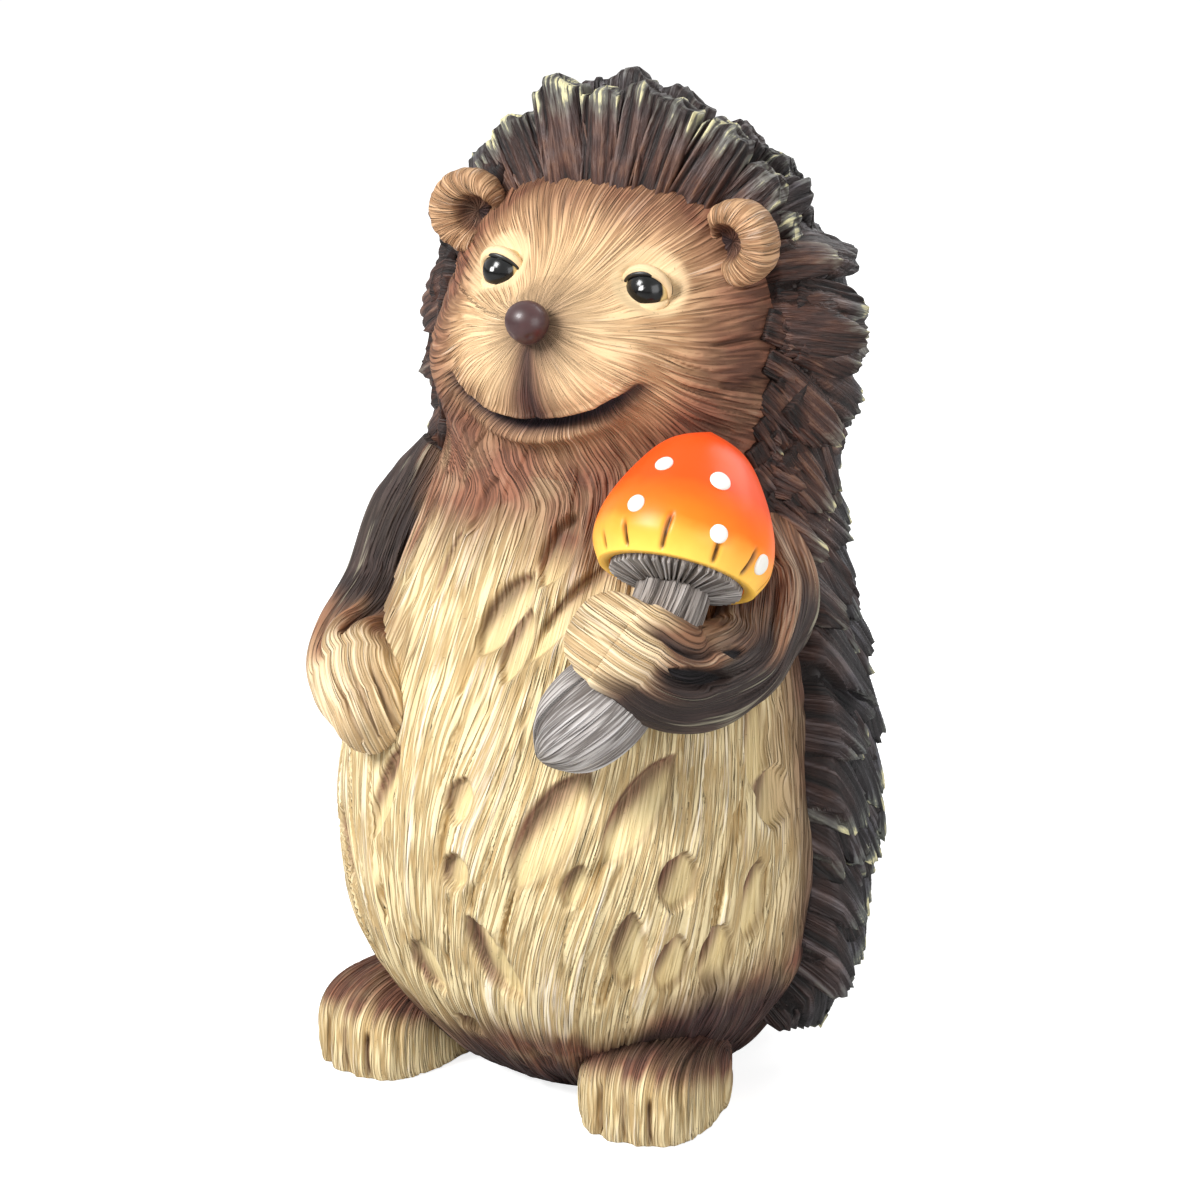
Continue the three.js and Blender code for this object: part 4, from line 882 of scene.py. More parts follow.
@dataclass
class Casting:
    """Torso and head in one grid of rays from the axis: level in the torso, fanning up to the crown above."""

    form: BodyForm
    seam: float = 146.0
    front_columns: int = 380
    back_columns: int = 20
    front_turn: float = 105.0
    torso_rows: int = 225
    head_rows: int = 225
    fan_height: float = 176.0
    rebate: float = 28.66
    opening: float = 22.16
    ledge_low: float = 6.0
    ledge_high: float = 12.0
    wall: float = 5.0
    nose_height: float = 183.0
    mouth: Rows = (
        (-27.5, -18.6, 165), (-24, -21, 161), (-16, -27, 158.5), (-6, -31, 158.3),
        (4, -31.8, 160), (13, -30.5, 163), (18.5, -28.8, 166.4), (22, -26.5, 169.5),
    )
    dips: tuple[tuple[Point, float], ...] = (((11.5, -26.5, 188.0), 2.2), ((-11.0, -26.0, 188.5), 4.6))
    lean_at: Row = (-75, -48, -22, 4, 30, 52, 75)
    lean: Row = (-0.1, -0.34, -0.05, 0.3, 0.36, 0.2, 0.04)

    def rays(self) -> None:
        """Casts the grid: each row has its own height on the axis and its own tilt of the rays."""
        span = np.radians(self.front_turn)
        front = np.linspace(-span, span, self.front_columns)
        back = np.linspace(span, 2 * np.pi - span, self.back_columns + 2)[1:-1]
        self.angle = np.concatenate([front, back])[None, :]
        share = np.arange(1, self.head_rows + 1) / (self.head_rows + 0.5)
        climb = mix(self.seam, self.fan_height, 1 - (1 - np.clip(share / 0.55, 0, 1)) ** 2)
        fan = np.pi / 2 * np.clip((share - 0.15) / 0.85, 0, 1) ** 1.2
        level = np.concatenate([np.linspace(0, self.seam, self.torso_rows), climb])[:, None]
        tilt = np.concatenate([np.zeros(self.torso_rows), fan])[:, None]
        side, middle, depth = self.form.reach(level)
        direction = stacked(
            side * np.sin(self.angle) * np.cos(tilt),
            -depth * np.cos(self.angle) * np.cos(tilt),
            (self.form.crown - self.fan_height) * np.sin(tilt),
        )
        self.smooth_grid = self.form.cast(stacked(0, middle, level), direction)
        self.normals = grid_normals(self.smooth_grid)
        steps = np.linalg.norm(np.diff(self.smooth_grid, axis=1), axis=-1)
        walked = np.concatenate([0 * level, np.cumsum(steps, axis=1)], axis=1)
        self.arc = walked - walked[:, [self.front_columns // 2]]

    def belly_hair(self) -> tuple[Array, Array, Array]:
        """Strokes of the belly: lines that lean in to the middle below, with cracks among them.

        Returns:
            Millimetres across the hair, relief from 0 to 1 and height in millimetres.
        """
        z = self.smooth_grid[..., 2]
        across = self.angle * 58
        lean = np.interp(across, self.lean_at, self.lean)
        hair = across - 34 * np.tanh((z - 62) / 34) * lean + 3 * (streaks(across, z, 24, 36, 3) - 0.5)
        line = streaks(hair, z, 1.9, 20, 11)
        broad = smooth(0.15, 0.85, streaks(hair, z, 4.6, 24, 12))
        groove = grooves(line)
        crack = smooth(0.78, 0.87, streaks(hair, z, 1.9, 17, 13))
        relief = 0.66 + 0.4 * (line - 0.5) + 0.16 * (broad - 0.5) - 0.3 * groove - 0.5 * crack
        height = 0.8 * (line - 0.5) + 1.0 * (broad - 0.5) - 0.6 * groove - 1.0 * crack
        return hair, np.clip(relief, 0, 1), height

    def face_hair(self) -> tuple[Array, Array, Array]:
        """Strokes of the face: rays from the nose, in rings of doubling radius that keep their spacing.

        Returns:
            Millimetres across the hair, relief from 0 to 1 and height in millimetres.
        """
        x, z = self.arc, self.smooth_grid[..., 2]
        rise = z - self.nose_height
        radius = np.hypot(x, rise) + 1
        theta = np.arctan2(rise, x) + 0.12 * (streaks(x, z, 18, 18, 21) - 0.5)
        edge = smooth(22, 40, radius)
        relief, height = np.zeros_like(x), np.zeros_like(x)
        for ring, salt in ((6.0, 22), (12.0, 23), (24.0, 24), (48.0, 25)):
            weight = np.clip(1 - np.abs(np.log2(radius / ring)), 0, 1)
            lines, cuts = (round(2 * np.pi * ring / pitch) for pitch in (1.3, 2.6))
            fine = streaks(theta * lines / (2 * np.pi), radius, 1, 14, salt, lines)
            crack = smooth(0.68, 0.86, streaks(theta * cuts / (2 * np.pi), radius, 1, 12, salt + 10, cuts))
            light = 0.4 * (fine - 0.5) - (0.15 + 0.2 * edge) * grooves(fine)
            relief += weight * np.clip(0.62 + light - (0.3 + 0.45 * edge) * crack, 0, 1)
            height += weight * ((0.6 + 0.4 * edge) * light - (0.3 + 0.7 * edge) * crack)
        return (theta + np.pi / 2) * 28, relief, height

    def hollows(self) -> tuple[Array, Array, Array]:
        """Leaf recesses: inside where |across| / half width < 1 - |along / half length|^2.6.

        Returns:
            Share of recess floor, painted shadow along its upper edge and over the floor below it, and depth
            in millimetres.
        """
        x, y, z = xyz(self.smooth_grid)
        radius = np.hypot(x, y - self.form.reach(z)[1])
        floor, shadow, depth = (np.zeros_like(z) for _ in range(3))
        for hollow in HOLLOWS:
            half = hollow.width / 2
            sideways = (self.angle - np.radians(hollow.angle)) * radius
            upward = z - hollow.height
            tilt = np.radians(hollow.tilt)
            along = upward * np.cos(tilt) + sideways * np.sin(tilt)
            across = sideways * np.cos(tilt) - upward * np.sin(tilt)
            across = across + 0.7 * (streaks(along, across, 5, 30, 7) - 0.5)
            leaf = np.abs(across) / half - 1 + np.abs(2 * along / hollow.length) ** 2.6
            inside = smooth(0.9, -1.1, leaf * half)
            slope = 1 - 0.3 * np.clip(across / half, -1, 1)
            # Painted shadow: the side of each recess away from the lamps is darkened along its rim and across
            # its floor.
            shadow_side = smooth(0.3, -0.9, (across - 0.25 * along) / half)
            edge = (0.4 + 0.6 * shadow_side) * bell(leaf + 0.06, 0.15)
            floor = np.maximum(floor, 0.6 * inside)
            depth = np.maximum(depth, 0.9 * hollow.depth * slope * inside)
            shadow = np.maximum.reduce([shadow, edge, 0.36 * hollow.depth * inside * shadow_side])
        return floor, shadow, depth

    def mouth_marks(self) -> tuple[Array, Array]:
        """Smile: distance to its line, and height above it, in millimetres."""
        first, flat, far = self.torso_rows - 20, np.array([1, 0.15, 1]), 99.0
        line = spline(self.mouth, np.linspace(0, 1, 41)) * flat
        points = self.smooth_grid[first:] * flat
        distance = np.full(self.smooth_grid.shape[:-1], far)
        for start, step in zip(line[:-1], np.diff(line, axis=0)):
            t = np.clip(((points - start) @ step) / (step @ step), 0, 1)
            off = np.linalg.norm(points - start - t[..., None] * step, axis=-1)
            distance[first:] = np.minimum(distance[first:], off)
        x, _, z = xyz(self.smooth_grid)
        return distance, z - np.interp(x, line[:, 0], line[:, 2])

    def dells(self) -> Array:
        """Dips between each eye and the bridge of the nose: a bell of the distance to its middle."""
        return sum(deep * bell(np.linalg.norm(self.smooth_grid - at, axis=-1), 6.0) for at, deep in self.dips)

    def carve(self) -> None:
        """Works out the carved grid and the painter's marks on it."""
        x, y, z = xyz(self.smooth_grid)
        head = smooth(139, 153, z)
        belly_across, belly_relief, belly_height = self.belly_hair()
        face_across, face_relief, face_height = self.face_hair()
        relief = mix(belly_relief, face_relief, head)
        height = mix(belly_height, face_height, head)
        floor, shadow, depth = self.hollows()
        ahead = (y < -5) * smooth(33, 28, np.abs(x))
        from_eye = np.linalg.norm(stacked(np.abs(x), y, z) - EYE_CENTRE, axis=-1)
        lids = smooth(10.5, 7.5, from_eye)
        still = np.maximum(floor, lids)
        height = height * (1 - still) - depth - 2.0 * smooth(9.5, 5.5, from_eye) - self.dells()
        distance, above = self.mouth_marks()
        crease = bell(distance, 1.3) * ahead * (1 - 0.7 * smooth(15, 24.5, np.abs(x + 2.75)))
        muzzle = smooth(0, 2.5, above) * smooth(15, 5, above) * smooth(28, 16, np.abs(x))
        lip = bell(above + 3.5, 1.5) * bell(x + 4, 17)
        under = bell(above + 7.5, 2.6) * bell(x + 3, 15)
        height += ahead * (1.5 * muzzle + 1.5 * lip - 1.1 * under) - 3.6 * crease
        height -= 0.8 * bell(x + 0.8, 0.9) * smooth(157, 161, z) * smooth(181, 178, z) * (y < -20)
        edge = smooth(0, 3, z) * smooth(self.form.crown, self.form.crown - 3, z)
        ray = np.hypot(self.arc, z - self.nose_height)
        centre = np.hypot(self.arc / 32, (z - 178) / 24)
        height = height * mix(1, 0.55, head * smooth(1.0, 0.3, centre) * (distance > 3))
        self.grid = self.smooth_grid + self.normals * (height * edge)[..., None]
        # The recesses' painted shadow deepens the brown shade and, where strongest, the plum dark.
        dusk = np.clip(shadow, 0, 1)
        bare = np.maximum(0.85 * lids, 0.42 * smooth(1.05, 0.35, centre))
        self.marks = {
            "relief": np.clip(relief * (1 - still) + 0.55 * still, 0, 1),
            "shade": np.maximum(self.shading(head, distance, above), np.clip(0.9 * shadow, 0, 1)),
            "dark": np.maximum(self.darkening(head, crease, above, distance), 0.4 * dusk**2),
            "bare": np.maximum(floor * (1 - head), head * bare),
        }
        self.hair = stacked(mix(belly_across, face_across, head), mix(z, self.nose_height - ray, head))

    def arm_gap(self) -> Array:
        """Distance from each point to the nearer arm's skin, by the closest of many balls along the arms."""
        balls = np.concatenate([spline(line, np.linspace(0, 1, 30)) for line in (LEFT_ARM, RIGHT_ARM)])
        gap = np.full(self.smooth_grid.shape[:-1], np.inf)
        for *centre, radius in balls:
            gap = np.minimum(gap, np.linalg.norm(self.smooth_grid - centre, axis=-1) - radius)
        return gap

    def shading(self, head: Array, distance: Array, above: Array) -> Array:
        """Brown airbrush: low on the belly, at the flanks, under the chin and round the edge of the face;
        beside the arms it is deepened into painted shade where they lie on the body.
        """
        x, y, z = xyz(self.smooth_grid)
        turn = np.degrees(self.angle)
        clouds = streaks(turn, z, 9, 14, 31) - 0.5
        rim = 29 + 14 * smooth(30, 80, np.abs(turn + 6))
        low = smooth(3, -13, z - rim + 10 * clouds)
        flank = np.maximum(smooth(66, 92, turn + 10 * clouds), smooth(-72, -94, turn + 10 * clouds))
        neck = 0.95 * smooth(122, 144, z + 0.3 * np.abs(x + 6) + 12 * clouds)
        # Brown along the arms, as airbrush and as painted shade where the arms lie on the body.
        arm_contact_shade = 0.85 * bell(np.maximum(self.arm_gap(), 0), 6.5) * smooth(98, 118, z)
        belly = np.maximum.reduce([low, flank, neck, arm_contact_shade])
        ring = np.hypot(self.arc / 37, (z - 180) / 27) + 0.16 * clouds
        face = np.maximum(smooth(0.58, 1.22, ring), 0.85 * smooth(196, 207, z + 6 * clouds))
        chin = 0.92 * smooth(159, 151, z) * (1 - 0.5 * bell(np.hypot(x + 5, 1.5 * (z - 152)), 8))
        lip = 0.85 * bell(distance, 3.8) * (above < 1.0)
        nose = 0.75 * bell(np.hypot(x, z - 180.5), 8.5) * (y < -25)
        wide = 3.2 + 0.32 * np.clip(178 - z, 0, 20)
        groove = 0.95 * bell(x + 0.8, wide) * smooth(156, 160, z) * smooth(184, 178, z) * (y < -20)
        return np.clip(mix(belly, np.maximum.reduce([face, chin, lip, nose, groove]), head), 0, 1)

    def darkening(self, head: Array, crease: Array, above: Array, distance: Array) -> Array:
        """Plum airbrush: under the belly, in the smile, down the lip and beside the nose."""
        x, y, z = xyz(self.smooth_grid)
        turn = np.degrees(self.angle)
        clouds = streaks(turn, z, 7, 9, 33) - 0.5
        low = 0.85 * smooth(0, -15, z - 21 - 20 * smooth(20, 65, np.abs(turn + 6)) + 8 * clouds)
        flank = 0.75 * np.maximum(smooth(76, 90, turn), smooth(-84, -98, turn)) * smooth(125, 100, z)
        mouth = np.clip(1.2 * crease + 0.5 * bell(distance, 2.8) * (above < 0.5), 0, 1)
        wide = 1.9 + 0.17 * np.clip(178 - z, 0, 20)
        lip = 0.8 * bell(x + 0.8, wide) * smooth(157, 160, z) * smooth(182, 176, z) * (y < -20)
        nose = 0.7 * bell(np.hypot(x - 1.0, z - 180.0), 5.8) * (y < -25)
        rim = 0.25 * smooth(1.0, 1.35, np.hypot(self.arc / 37, (z - 180) / 27) + 0.2 * clouds)
        return np.clip(mix(np.maximum(low, flank), np.maximum.reduce([mouth, lip, nose, rim]), head), 0, 1)

    def inner_wall(self) -> Array:
        """Rows of the hollow inside: down the wall from the neck, over the ledge, out to the base's rim."""
        heights = np.array([self.seam, 120, 80, 40, self.ledge_high + 4])
        skin = section(*self.form.reach(heights[:, None]), self.angle, heights[:, None])
        middle = stacked(0, skin[..., 1].mean(axis=1), heights)[:, None, :]
        reach = np.linalg.norm(skin - middle, axis=-1, keepdims=True)
        wall = middle + (skin - middle) * (reach - self.wall) / reach
        radii = np.array([self.opening, self.opening, self.rebate, self.rebate])[:, None]
        levels = np.array([self.ledge_high, self.ledge_low, self.ledge_low, 0.0])[:, None]
        return np.concatenate([wall, section(radii, 0, radii, self.angle, levels)])

    def tucked(self, first: int, depths: Row) -> Array:
        """The carved grid with some rows, from the first on, drawn in by their depths."""
        grid, last = self.grid.copy(), first + len(depths)
        grid[first:last] -= self.normals[first:last] * np.array(depths)[:, None, None]
        return grid

    def build(self) -> None:
        """Makes the torso as a closed shell with its inner wall, and the head with a closed neck."""
        self.rays()
        self.carve()
        hidden = {"relief": 0.5, "shade": 0.8}
        top, neck, inside = self.torso_rows + 2, self.torso_rows - 4, self.inner_wall()
        grid = np.concatenate([self.tucked(self.torso_rows, (0.4, 1.5))[:top], inside])
        marks = {
            key: np.concatenate([values[:top], np.full(inside.shape[:2], hidden.get(key, 0.0))])
            for key, values in self.marks.items()
        }
        hair = np.concatenate([self.hair[:top], np.zeros((*inside.shape[:2], 2))])
        torso = Bundle().add_loop(grid, marks, hair)
        torso.make("torso", BELLY_PAINT.material(), Slot.BODY, "body_casting")
        grid = self.tucked(neck, (2.4, 1.2, 0.35))[neck:]
        poles = (np.array([0, 6, self.seam - 3]), grid[-1].mean(axis=0))
        marks = {key: values[neck:] for key, values in self.marks.items()}
        head = Bundle().add(grid, marks, self.hair[neck:], poles)
        head.make("head", FACE_PAINT.material(), Slot.BODY)


# Small forms of the face and feet


def sphere_rings(rows: int, columns: int) -> tuple[Array, Array]:
    """Latitude, from -90 to 90 degrees without the poles, and longitude of a ball's grid, in radians."""
    latitude = (np.arange(1, rows) / rows - 0.5) * np.pi
    return latitude[:, None], round_angles(columns)


def ball_ways(rows: int = 48, columns: int = 72) -> Array:
    """Grid of directions from a ball's middle: (cos lat cos lon, cos lat sin lon, sin lat)."""
    lat, lon = sphere_rings(rows, columns)
    return stacked(np.cos(lat) * np.cos(lon), np.cos(lat) * np.sin(lon), np.sin(lat))


def turned(points: Array, angle: float, centre: Point) -> Array:
    """Points turned about the upright through their own origin, then carried to a centre."""
    c, s = np.cos(angle), np.sin(angle)
    return points @ np.array([[c, s, 0], [-s, c, 0], [0, 0, 1]]) + np.array(centre)


@dataclass
class Foot:
    """Blocky paw: a superellipsoid, flat below, with three short toe clefts at its front."""

    name: str
    centre: Point
    turn: float
    dusk: float
    radii: Point = (15.6, 20.3, 15.2)
    square: float = 0.74
    clefts: Row = (-6.6, 0.4, 6.8)
    cleft_depth: float = 1.6
    rows: int = 110
    columns: int = 220

    def sole(self, grid: Array) -> Array:
        """Lowest height of the foot: the floor outside the body's foot line, a step up inside it."""
        side, middle, depth = FORM.reach(np.zeros(1))
        return 7 * smooth(1.03, 0.97, np.hypot(grid[..., 0] / side, (grid[..., 1] - middle) / depth))

    def build(self) -> None:
        """Each coordinate is radius * sign * |sin or cos|^square; clefts and strokes are pressed in."""
        lat, lon = sphere_rings(self.rows, self.columns)
        radii, power = np.array(self.radii), partial(signed_power, power=self.square)
        wide = power(np.cos(lat))
        local = stacked(wide * power(np.sin(lon)), -wide * power(np.cos(lon)), power(np.sin(lat))) * radii
        out = unit(local / radii**2)
        x, y, z = xyz(local)
        ahead = smooth(-7, -13, y)
        beside = np.sign(x) * smooth(0.55, 1.0, np.abs(x) / self.radii[0])
        hair = x + 0.75 * beside * (y + self.radii[1]) + 0.6 * (streaks(y, z, 8, 9, 5) - 0.5)
        along = z - y
        line = streaks(hair, along, 1.6, 24, 61)
        groove = grooves(line)
        crack = smooth(0.7, 0.86, streaks(hair, along, 2.2, 16, 62))
        reach = [bell(x - place, 0.55) * smooth(8 - i, 5 - i, z) for i, place in enumerate(self.clefts)]
        cleft = np.max(reach, axis=0) * ahead * smooth(-8, -5, z)
        toe = np.max([bell(x - place, 1.9) for place in self.clefts], axis=0) * ahead * smooth(9, 4, z)
        height = 0.5 * (line - 0.5) - 0.3 * groove - 0.6 * crack - self.cleft_depth * cleft - 0.45 * toe
        grid = turned(local + out * height[..., None], np.radians(self.turn), self.centre)
        grid[..., 2] = np.maximum(grid[..., 2], self.sole(grid))
        level = z + 0.32 * (y + 14) + 5 * (line - 0.5)
        relief = 0.68 + 0.4 * (line - 0.5) - 0.25 * groove - 0.4 * crack - 0.6 * cleft
        marks = {
            "relief": np.clip(relief, 0, 1),
            "shade": np.maximum(smooth(3, 11, level), 0.8 * cleft),
            "dark": np.clip(self.dusk * smooth(7, 14, level) + 0.3 * cleft, 0, 1),
            "bare": 0.0,
        }
        foot = Bundle().add(grid, marks, stacked(hair, along))
        foot.make(self.name, BELLY_PAINT.material(), Slot.BODY)


@dataclass
class Ear:
    """Cupped ear: a profile of back, rolled rim and hollow, carried round an oval."""

    side: Side
    centre: Point = (34, -3.5, 198)
    half_width: float = 9.4
    half_height: float = 9.6
    turn: float = 8.0
    rows: int = 64
    columns: int = 120
    profile: Rows = (
        (0.05, 4.6), (0.6, 4.4), (0.92, 3.0), (1.0, 0.2), (0.98, -2.4), (0.88, -4.2),
        (0.68, -4.8), (0.5, -4.2), (0.4, -2.2), (0.26, -0.4), (0.04, 0.0),
    )

    def build(self) -> None:
        """Radius and depth follow the profile; the rim dips and opens on the side next to the face."""
        share = np.linspace(0, 1, self.rows)
        radius, depth = spline(self.profile, share).T[..., None]
        turn, share, sign = round_angles(self.columns), share[:, None], self.side.value
        inner = smooth(0.35, 1.0, -sign * np.cos(turn) - 0.35 * np.sin(turn))
        strokes = streaks(turn * 9, share * 34, 1.0, 9, 71 + sign)
        crack = smooth(0.72, 0.9, streaks(turn * 6, share * 34, 1.0, 11, 73))
        lift = 0.35 * (strokes - 0.5) - 0.3 * crack
        radius = radius * (1 - 0.1 * inner) + lift / 9
        x = radius * self.half_width * np.cos(turn) - 1.9 * sign * smooth(0.45, 0.8, share)
        y = depth + 3.6 * inner * smooth(0, -3, depth) - 0.6 * lift
        z = radius * self.half_height * np.sin(turn)
        place = (sign * self.centre[0], *self.centre[1:])
        grid = turned(stacked(x, y, z), -sign * np.radians(self.turn), place)
        shade = 0.42 + 0.5 * smooth(0.66, 0.85, share) + 0.4 * smooth(0.35, 0.1, share) + 0.3 * inner
        marks = {
            "relief": np.clip(0.25 + 0.7 * strokes - 0.6 * crack, 0, 1),
            "shade": np.clip(shade, 0, 1),
            "dark": np.clip(0.9 * smooth(0.7, 0.9, share) * (0.55 + 0.45 * inner), 0, 1),
            "bare": 0.0,
        }
        ear = Bundle().add(grid, marks, stacked(turn * 9, share * 34))
        ear.make(f"{self.side.word}_ear", FACE_PAINT.material(), Slot.BODY)


def tube(path: Array, radii: Array, columns: int, upright: Array) -> tuple[Array, Array, Array]:
    """Rings of a round tube along a path.

    Each ring's first spoke is the part of one reference direction that is square to the path.

    Args:
        path: points of the centre line.
        radii: radius at each point.
        columns: points in a ring.
        upright: the reference direction.

    Returns:
        The rings, their outward directions and the angle round each ring, as one row.
    """
    tangent = unit(np.gradient(path, axis=0))
    spoke = unit(upright - (tangent @ upright)[:, None] * tangent)
    cross = np.cross(tangent, spoke)
    angle = round_angles(columns)
    out = np.cos(angle)[..., None] * spoke[:, None, :] + np.sin(angle)[..., None] * cross[:, None, :]
    return path[:, None, :] + radii[:, None, None] * out, out, angle


@dataclass
class Eye:
    """Painted bead with rolled lids and a black line under the upper one."""

    side: Side
    centre: Point = EYE_CENTRE
    radius: float = 5.0
    iris_turn: float = 60.0
    gaze: Point = (0.13, -0.96, 0.14)
    corner: float = -20.0
    lid_reach: float = 5.3

    def __post_init__(self) -> None:
        """Works out this eye's middle, gaze, outward side and up direction."""
        sign = np.array([self.side.value, 1, 1])
        self.middle, self.ahead = np.array(self.centre) * sign, unit(np.array(self.gaze) * sign)
        self.out = unit(np.cross(self.ahead, [0, 0, 1]) * -self.side.value)
        self.up = unit(np.cross(self.ahead, self.out) * self.side.value)

    def arc(self, rise: float, inner: float, outer: float, count: int = 44) -> Array:
        """Line over the bead from its inner to its outer corner: the direction swings from one angle to the
        other and leaves the corners' level by a half ellipse."""
        round_step = np.linspace(0, np.pi, count)[:, None]
        swing = np.radians(mix(-inner, outer, 0.5 - 0.5 * np.cos(round_step)))
        lift = np.radians(mix(self.corner, rise, np.sin(round_step)))
        way = np.cos(lift) * (np.cos(swing) * self.ahead + np.sin(swing) * self.out) + np.sin(lift) * self.up
        return self.middle + self.lid_reach * unit(way)

    def roll(self, name: str, path: Array, thick: float, taper: float, finish: Material, slot: Slot) -> None:
        """A tapering roll along a line: radius is thick times sin^taper of the share along it."""
        share = np.linspace(0, 1, len(path))
        radii = np.maximum(thick * np.sin(np.pi * share) ** taper, 0.06)
        rings, _, angle = tube(path, radii, 20, self.ahead)
        hair = stacked(angle * 2, share[:, None] * 14)
        fine = streaks(hair[..., 0], hair[..., 1], 1.2, 6, 81)
        marks = {"relief": 0.55 + 0.25 * (fine - 0.5), "shade": 0.06, "dark": 0.0, "bare": 0.9}
        Bundle().add(rings, marks, hair).make(f"{self.side.word}_{name}", finish, slot)

    def build(self) -> None:
        """Makes the bead, whose iris is a cap round the gaze, then the lids and the line."""
        way = ball_ways()
        spot = unit(self.ahead + 0.1 * self.up + 0.02 * np.array([0.88, 0.47, 0]))
        off, from_spot = (np.degrees(np.arccos(np.clip(way @ aim, -1, 1))) for aim in (self.ahead, spot))
        marks = {
            "iris": smooth(self.iris_turn + 2, self.iris_turn - 2, off),
            "pupil": np.clip(smooth(42, 30, off) + smooth(50, 58, off), 0, 1),
            "light": smooth(6.5, 4.5, from_spot),
        }
        tip = np.array([0, 0, self.radius])
        poles = (self.middle - tip, self.middle + tip)
        bead = Bundle().add(self.middle + self.radius * way, marks, poles=poles)
        bead.make(f"{self.side.word}_eye_bead", EYE_BEAD.material(), Slot.EYE, f"{self.side.word}_eye")
        lid = FACE_PAINT.material()
        self.roll("upper_lid", self.arc(57, 90, 82), 1.3, 0.5, lid, Slot.BODY)
        self.roll("lower_lid", self.arc(-49, 90, 78), 1.3, 0.5, lid, Slot.BODY)
        self.roll("lash_line", self.arc(44, 84, 100), 0.55, 0.6, LINER_PAINT.material(), Slot.EYE)


@dataclass
class Nose:
    """Button nose: a ball drawn in below, with two shallow nostrils."""

    centre: Point = (0, -38.6, 183.6)
    radii: Point = (5.3, 4.9, 4.9)

    def build(self) -> None:
        """Radius 1 - 0.07 (1 - sin lat) cos lat, less two bells for the nostrils."""
        way = ball_ways()
        rise = way[..., 2]
        pinch = 1 - 0.07 * (1 - rise) * np.sqrt(1 - rise**2)
        holes = [unit(np.array([side.value * 0.5, -0.75, -0.5])) for side in Side]
        nostril = np.max([bell(np.linalg.norm(way - hole, axis=-1), 0.16) for hole in holes], axis=0)
        grid = np.array(self.centre) + way * (pinch - 0.07 * nostril)[..., None] * np.array(self.radii)
        Bundle().add(grid).make("nose", NOSE_PAINT.material(), Slot.BODY)


# Arms


@dataclass
class Arm:
    """Arm and paw: a tapering tube with a dark, ragged sleeve, whose lit side is brown as painted light, and a
    cream paw with finger clefts.
    """

    side: Side
    line: Rows
    fingers: Row
    # Angle round the arm of its lit side, painted brown in place of charcoal as painted light; on the left arm
    # it faces the glowing cap.
    lit_side_turn: float
    holes: Rows = ()
    cream_from: float = 0.74
    coal_from: float = 0.7
    cleft: float = 1.0
    facing: Point = (0.45, -0.84, 0.3)
    rows: int = 230
    columns: int = 200

    def build(self) -> None:
        """Rings along a Catmull-Rom line; the end closes bluntly; strokes run along the arm."""
        stations = np.array(self.line, float)
        tip, tip_radius = stations[-1, :3], stations[-1, 3]
        tip = tip + unit(tip - stations[-2, :3]) * 0.9 * tip_radius
        stations = np.vstack([stations, [*tip, tip_radius]])
        last = len(stations) - 1
        share = 1 - (1 - np.linspace(0, 0.998, self.rows)) ** 1.2
        placed = spline(stations, share)
        close = np.clip(share * last - (last - 1), 0, 1)
        path, radii = placed[:, :3], placed[:, 3] * np.sqrt(np.clip(1 - close**2.2, 0.0004, 1))
        rings, out, angle = tube(path, radii, self.columns, np.array([0.0, 0.0, 1.0]))
        walked = walk(path)
        along = walked[:, None] + 0 * angle
        s = share[:, None]
        tangent = unit(np.gradient(path, axis=0))
        beside = unit(np.cross(tangent, self.facing))[:, None, :]
        ahead = (out * np.cross(beside, tangent[:, None, :])).sum(-1)
        plain = radii[:, None] * (out * beside).sum(-1)
        across = plain + 0.9 * (streaks(plain, along, 8, 22, 41) - 0.5)
        line = streaks(across, along, 1.5, 26, 42)
        groove = grooves(line)
        broad = smooth(0.15, 0.85, streaks(across, along, 3.6, 20, 43))
        crack = smooth(0.68, 0.84, streaks(across, along, 2.2, 20, 44))
        sleeve = smooth(self.cream_from, self.cream_from - 0.13, s + 0.07 * (broad - 0.5))
        paw = smooth(self.cream_from + 0.02, self.cream_from + 0.12, s) * smooth(-0.1, 0.3, ahead)
        finger = np.max([bell(plain - place, 0.6) for place in self.fingers], axis=0) * paw * self.cleft
        pit, depth = np.zeros_like(along), np.zeros_like(along)
        for at, turn, length, width, deep in self.holes:
            gap = turn_from(angle, turn) * radii[:, None]
            leaf = np.abs(gap) / (width / 2) - 1 + (2 * (along - at * walked[-1]) / length) ** 2
            pit = np.maximum(pit, smooth(0.25, -0.25, leaf))
            depth = np.maximum(depth, deep * smooth(0.25, -0.25, leaf))
        height = 0.5 * (line - 0.5) + (0.3 + 1.8 * sleeve) * (broad - 0.5)
        height = height - 0.35 * groove - (0.3 + 1.0 * sleeve) * crack
        height = (height * (1 - pit) - depth - 1.2 * finger) * smooth(0, 2.5, radii)[:, None]
        grid = inside_box(rings + out * height[..., None])
        # Painted light: charcoal gives way to brown on the sleeve's lit side, which on the left arm stands for
        # the cap's warm glow.
        lit = np.cos(angle - np.radians(self.lit_side_turn)) + 0.5 * (broad - 0.5)
        dark = smooth(self.coal_from, self.coal_from - 0.2, s + 0.12 * (broad - 0.5))
        dark = dark * (0.2 + 0.8 * smooth(0.98, 0.5, lit))
        rough = (0.2 + 0.8 * sleeve) * (0.5 * (line + broad - 1) - 0.3 * groove - 0.6 * crack)
        # Inside the holes the paint turns dark as painted shade.
        marks = {
            "relief": np.clip(0.72 + rough - 0.5 * finger, 0, 1) * (1 - 0.9 * pit),
            "shade": np.clip(sleeve + 0.5 * finger, 0, 1),
            "dark": np.maximum(np.clip(0.92 * dark + 0.2 * finger, 0, 1), pit),
            "bare": 0.0,
        }
        arm = Bundle().add(grid, marks, stacked(plain, along))
        arm.make(f"{self.side.word}_arm_and_paw", ARM_PAINT.material(), Slot.ARM, f"{self.side.word}_arm")


# Quill coat and crest


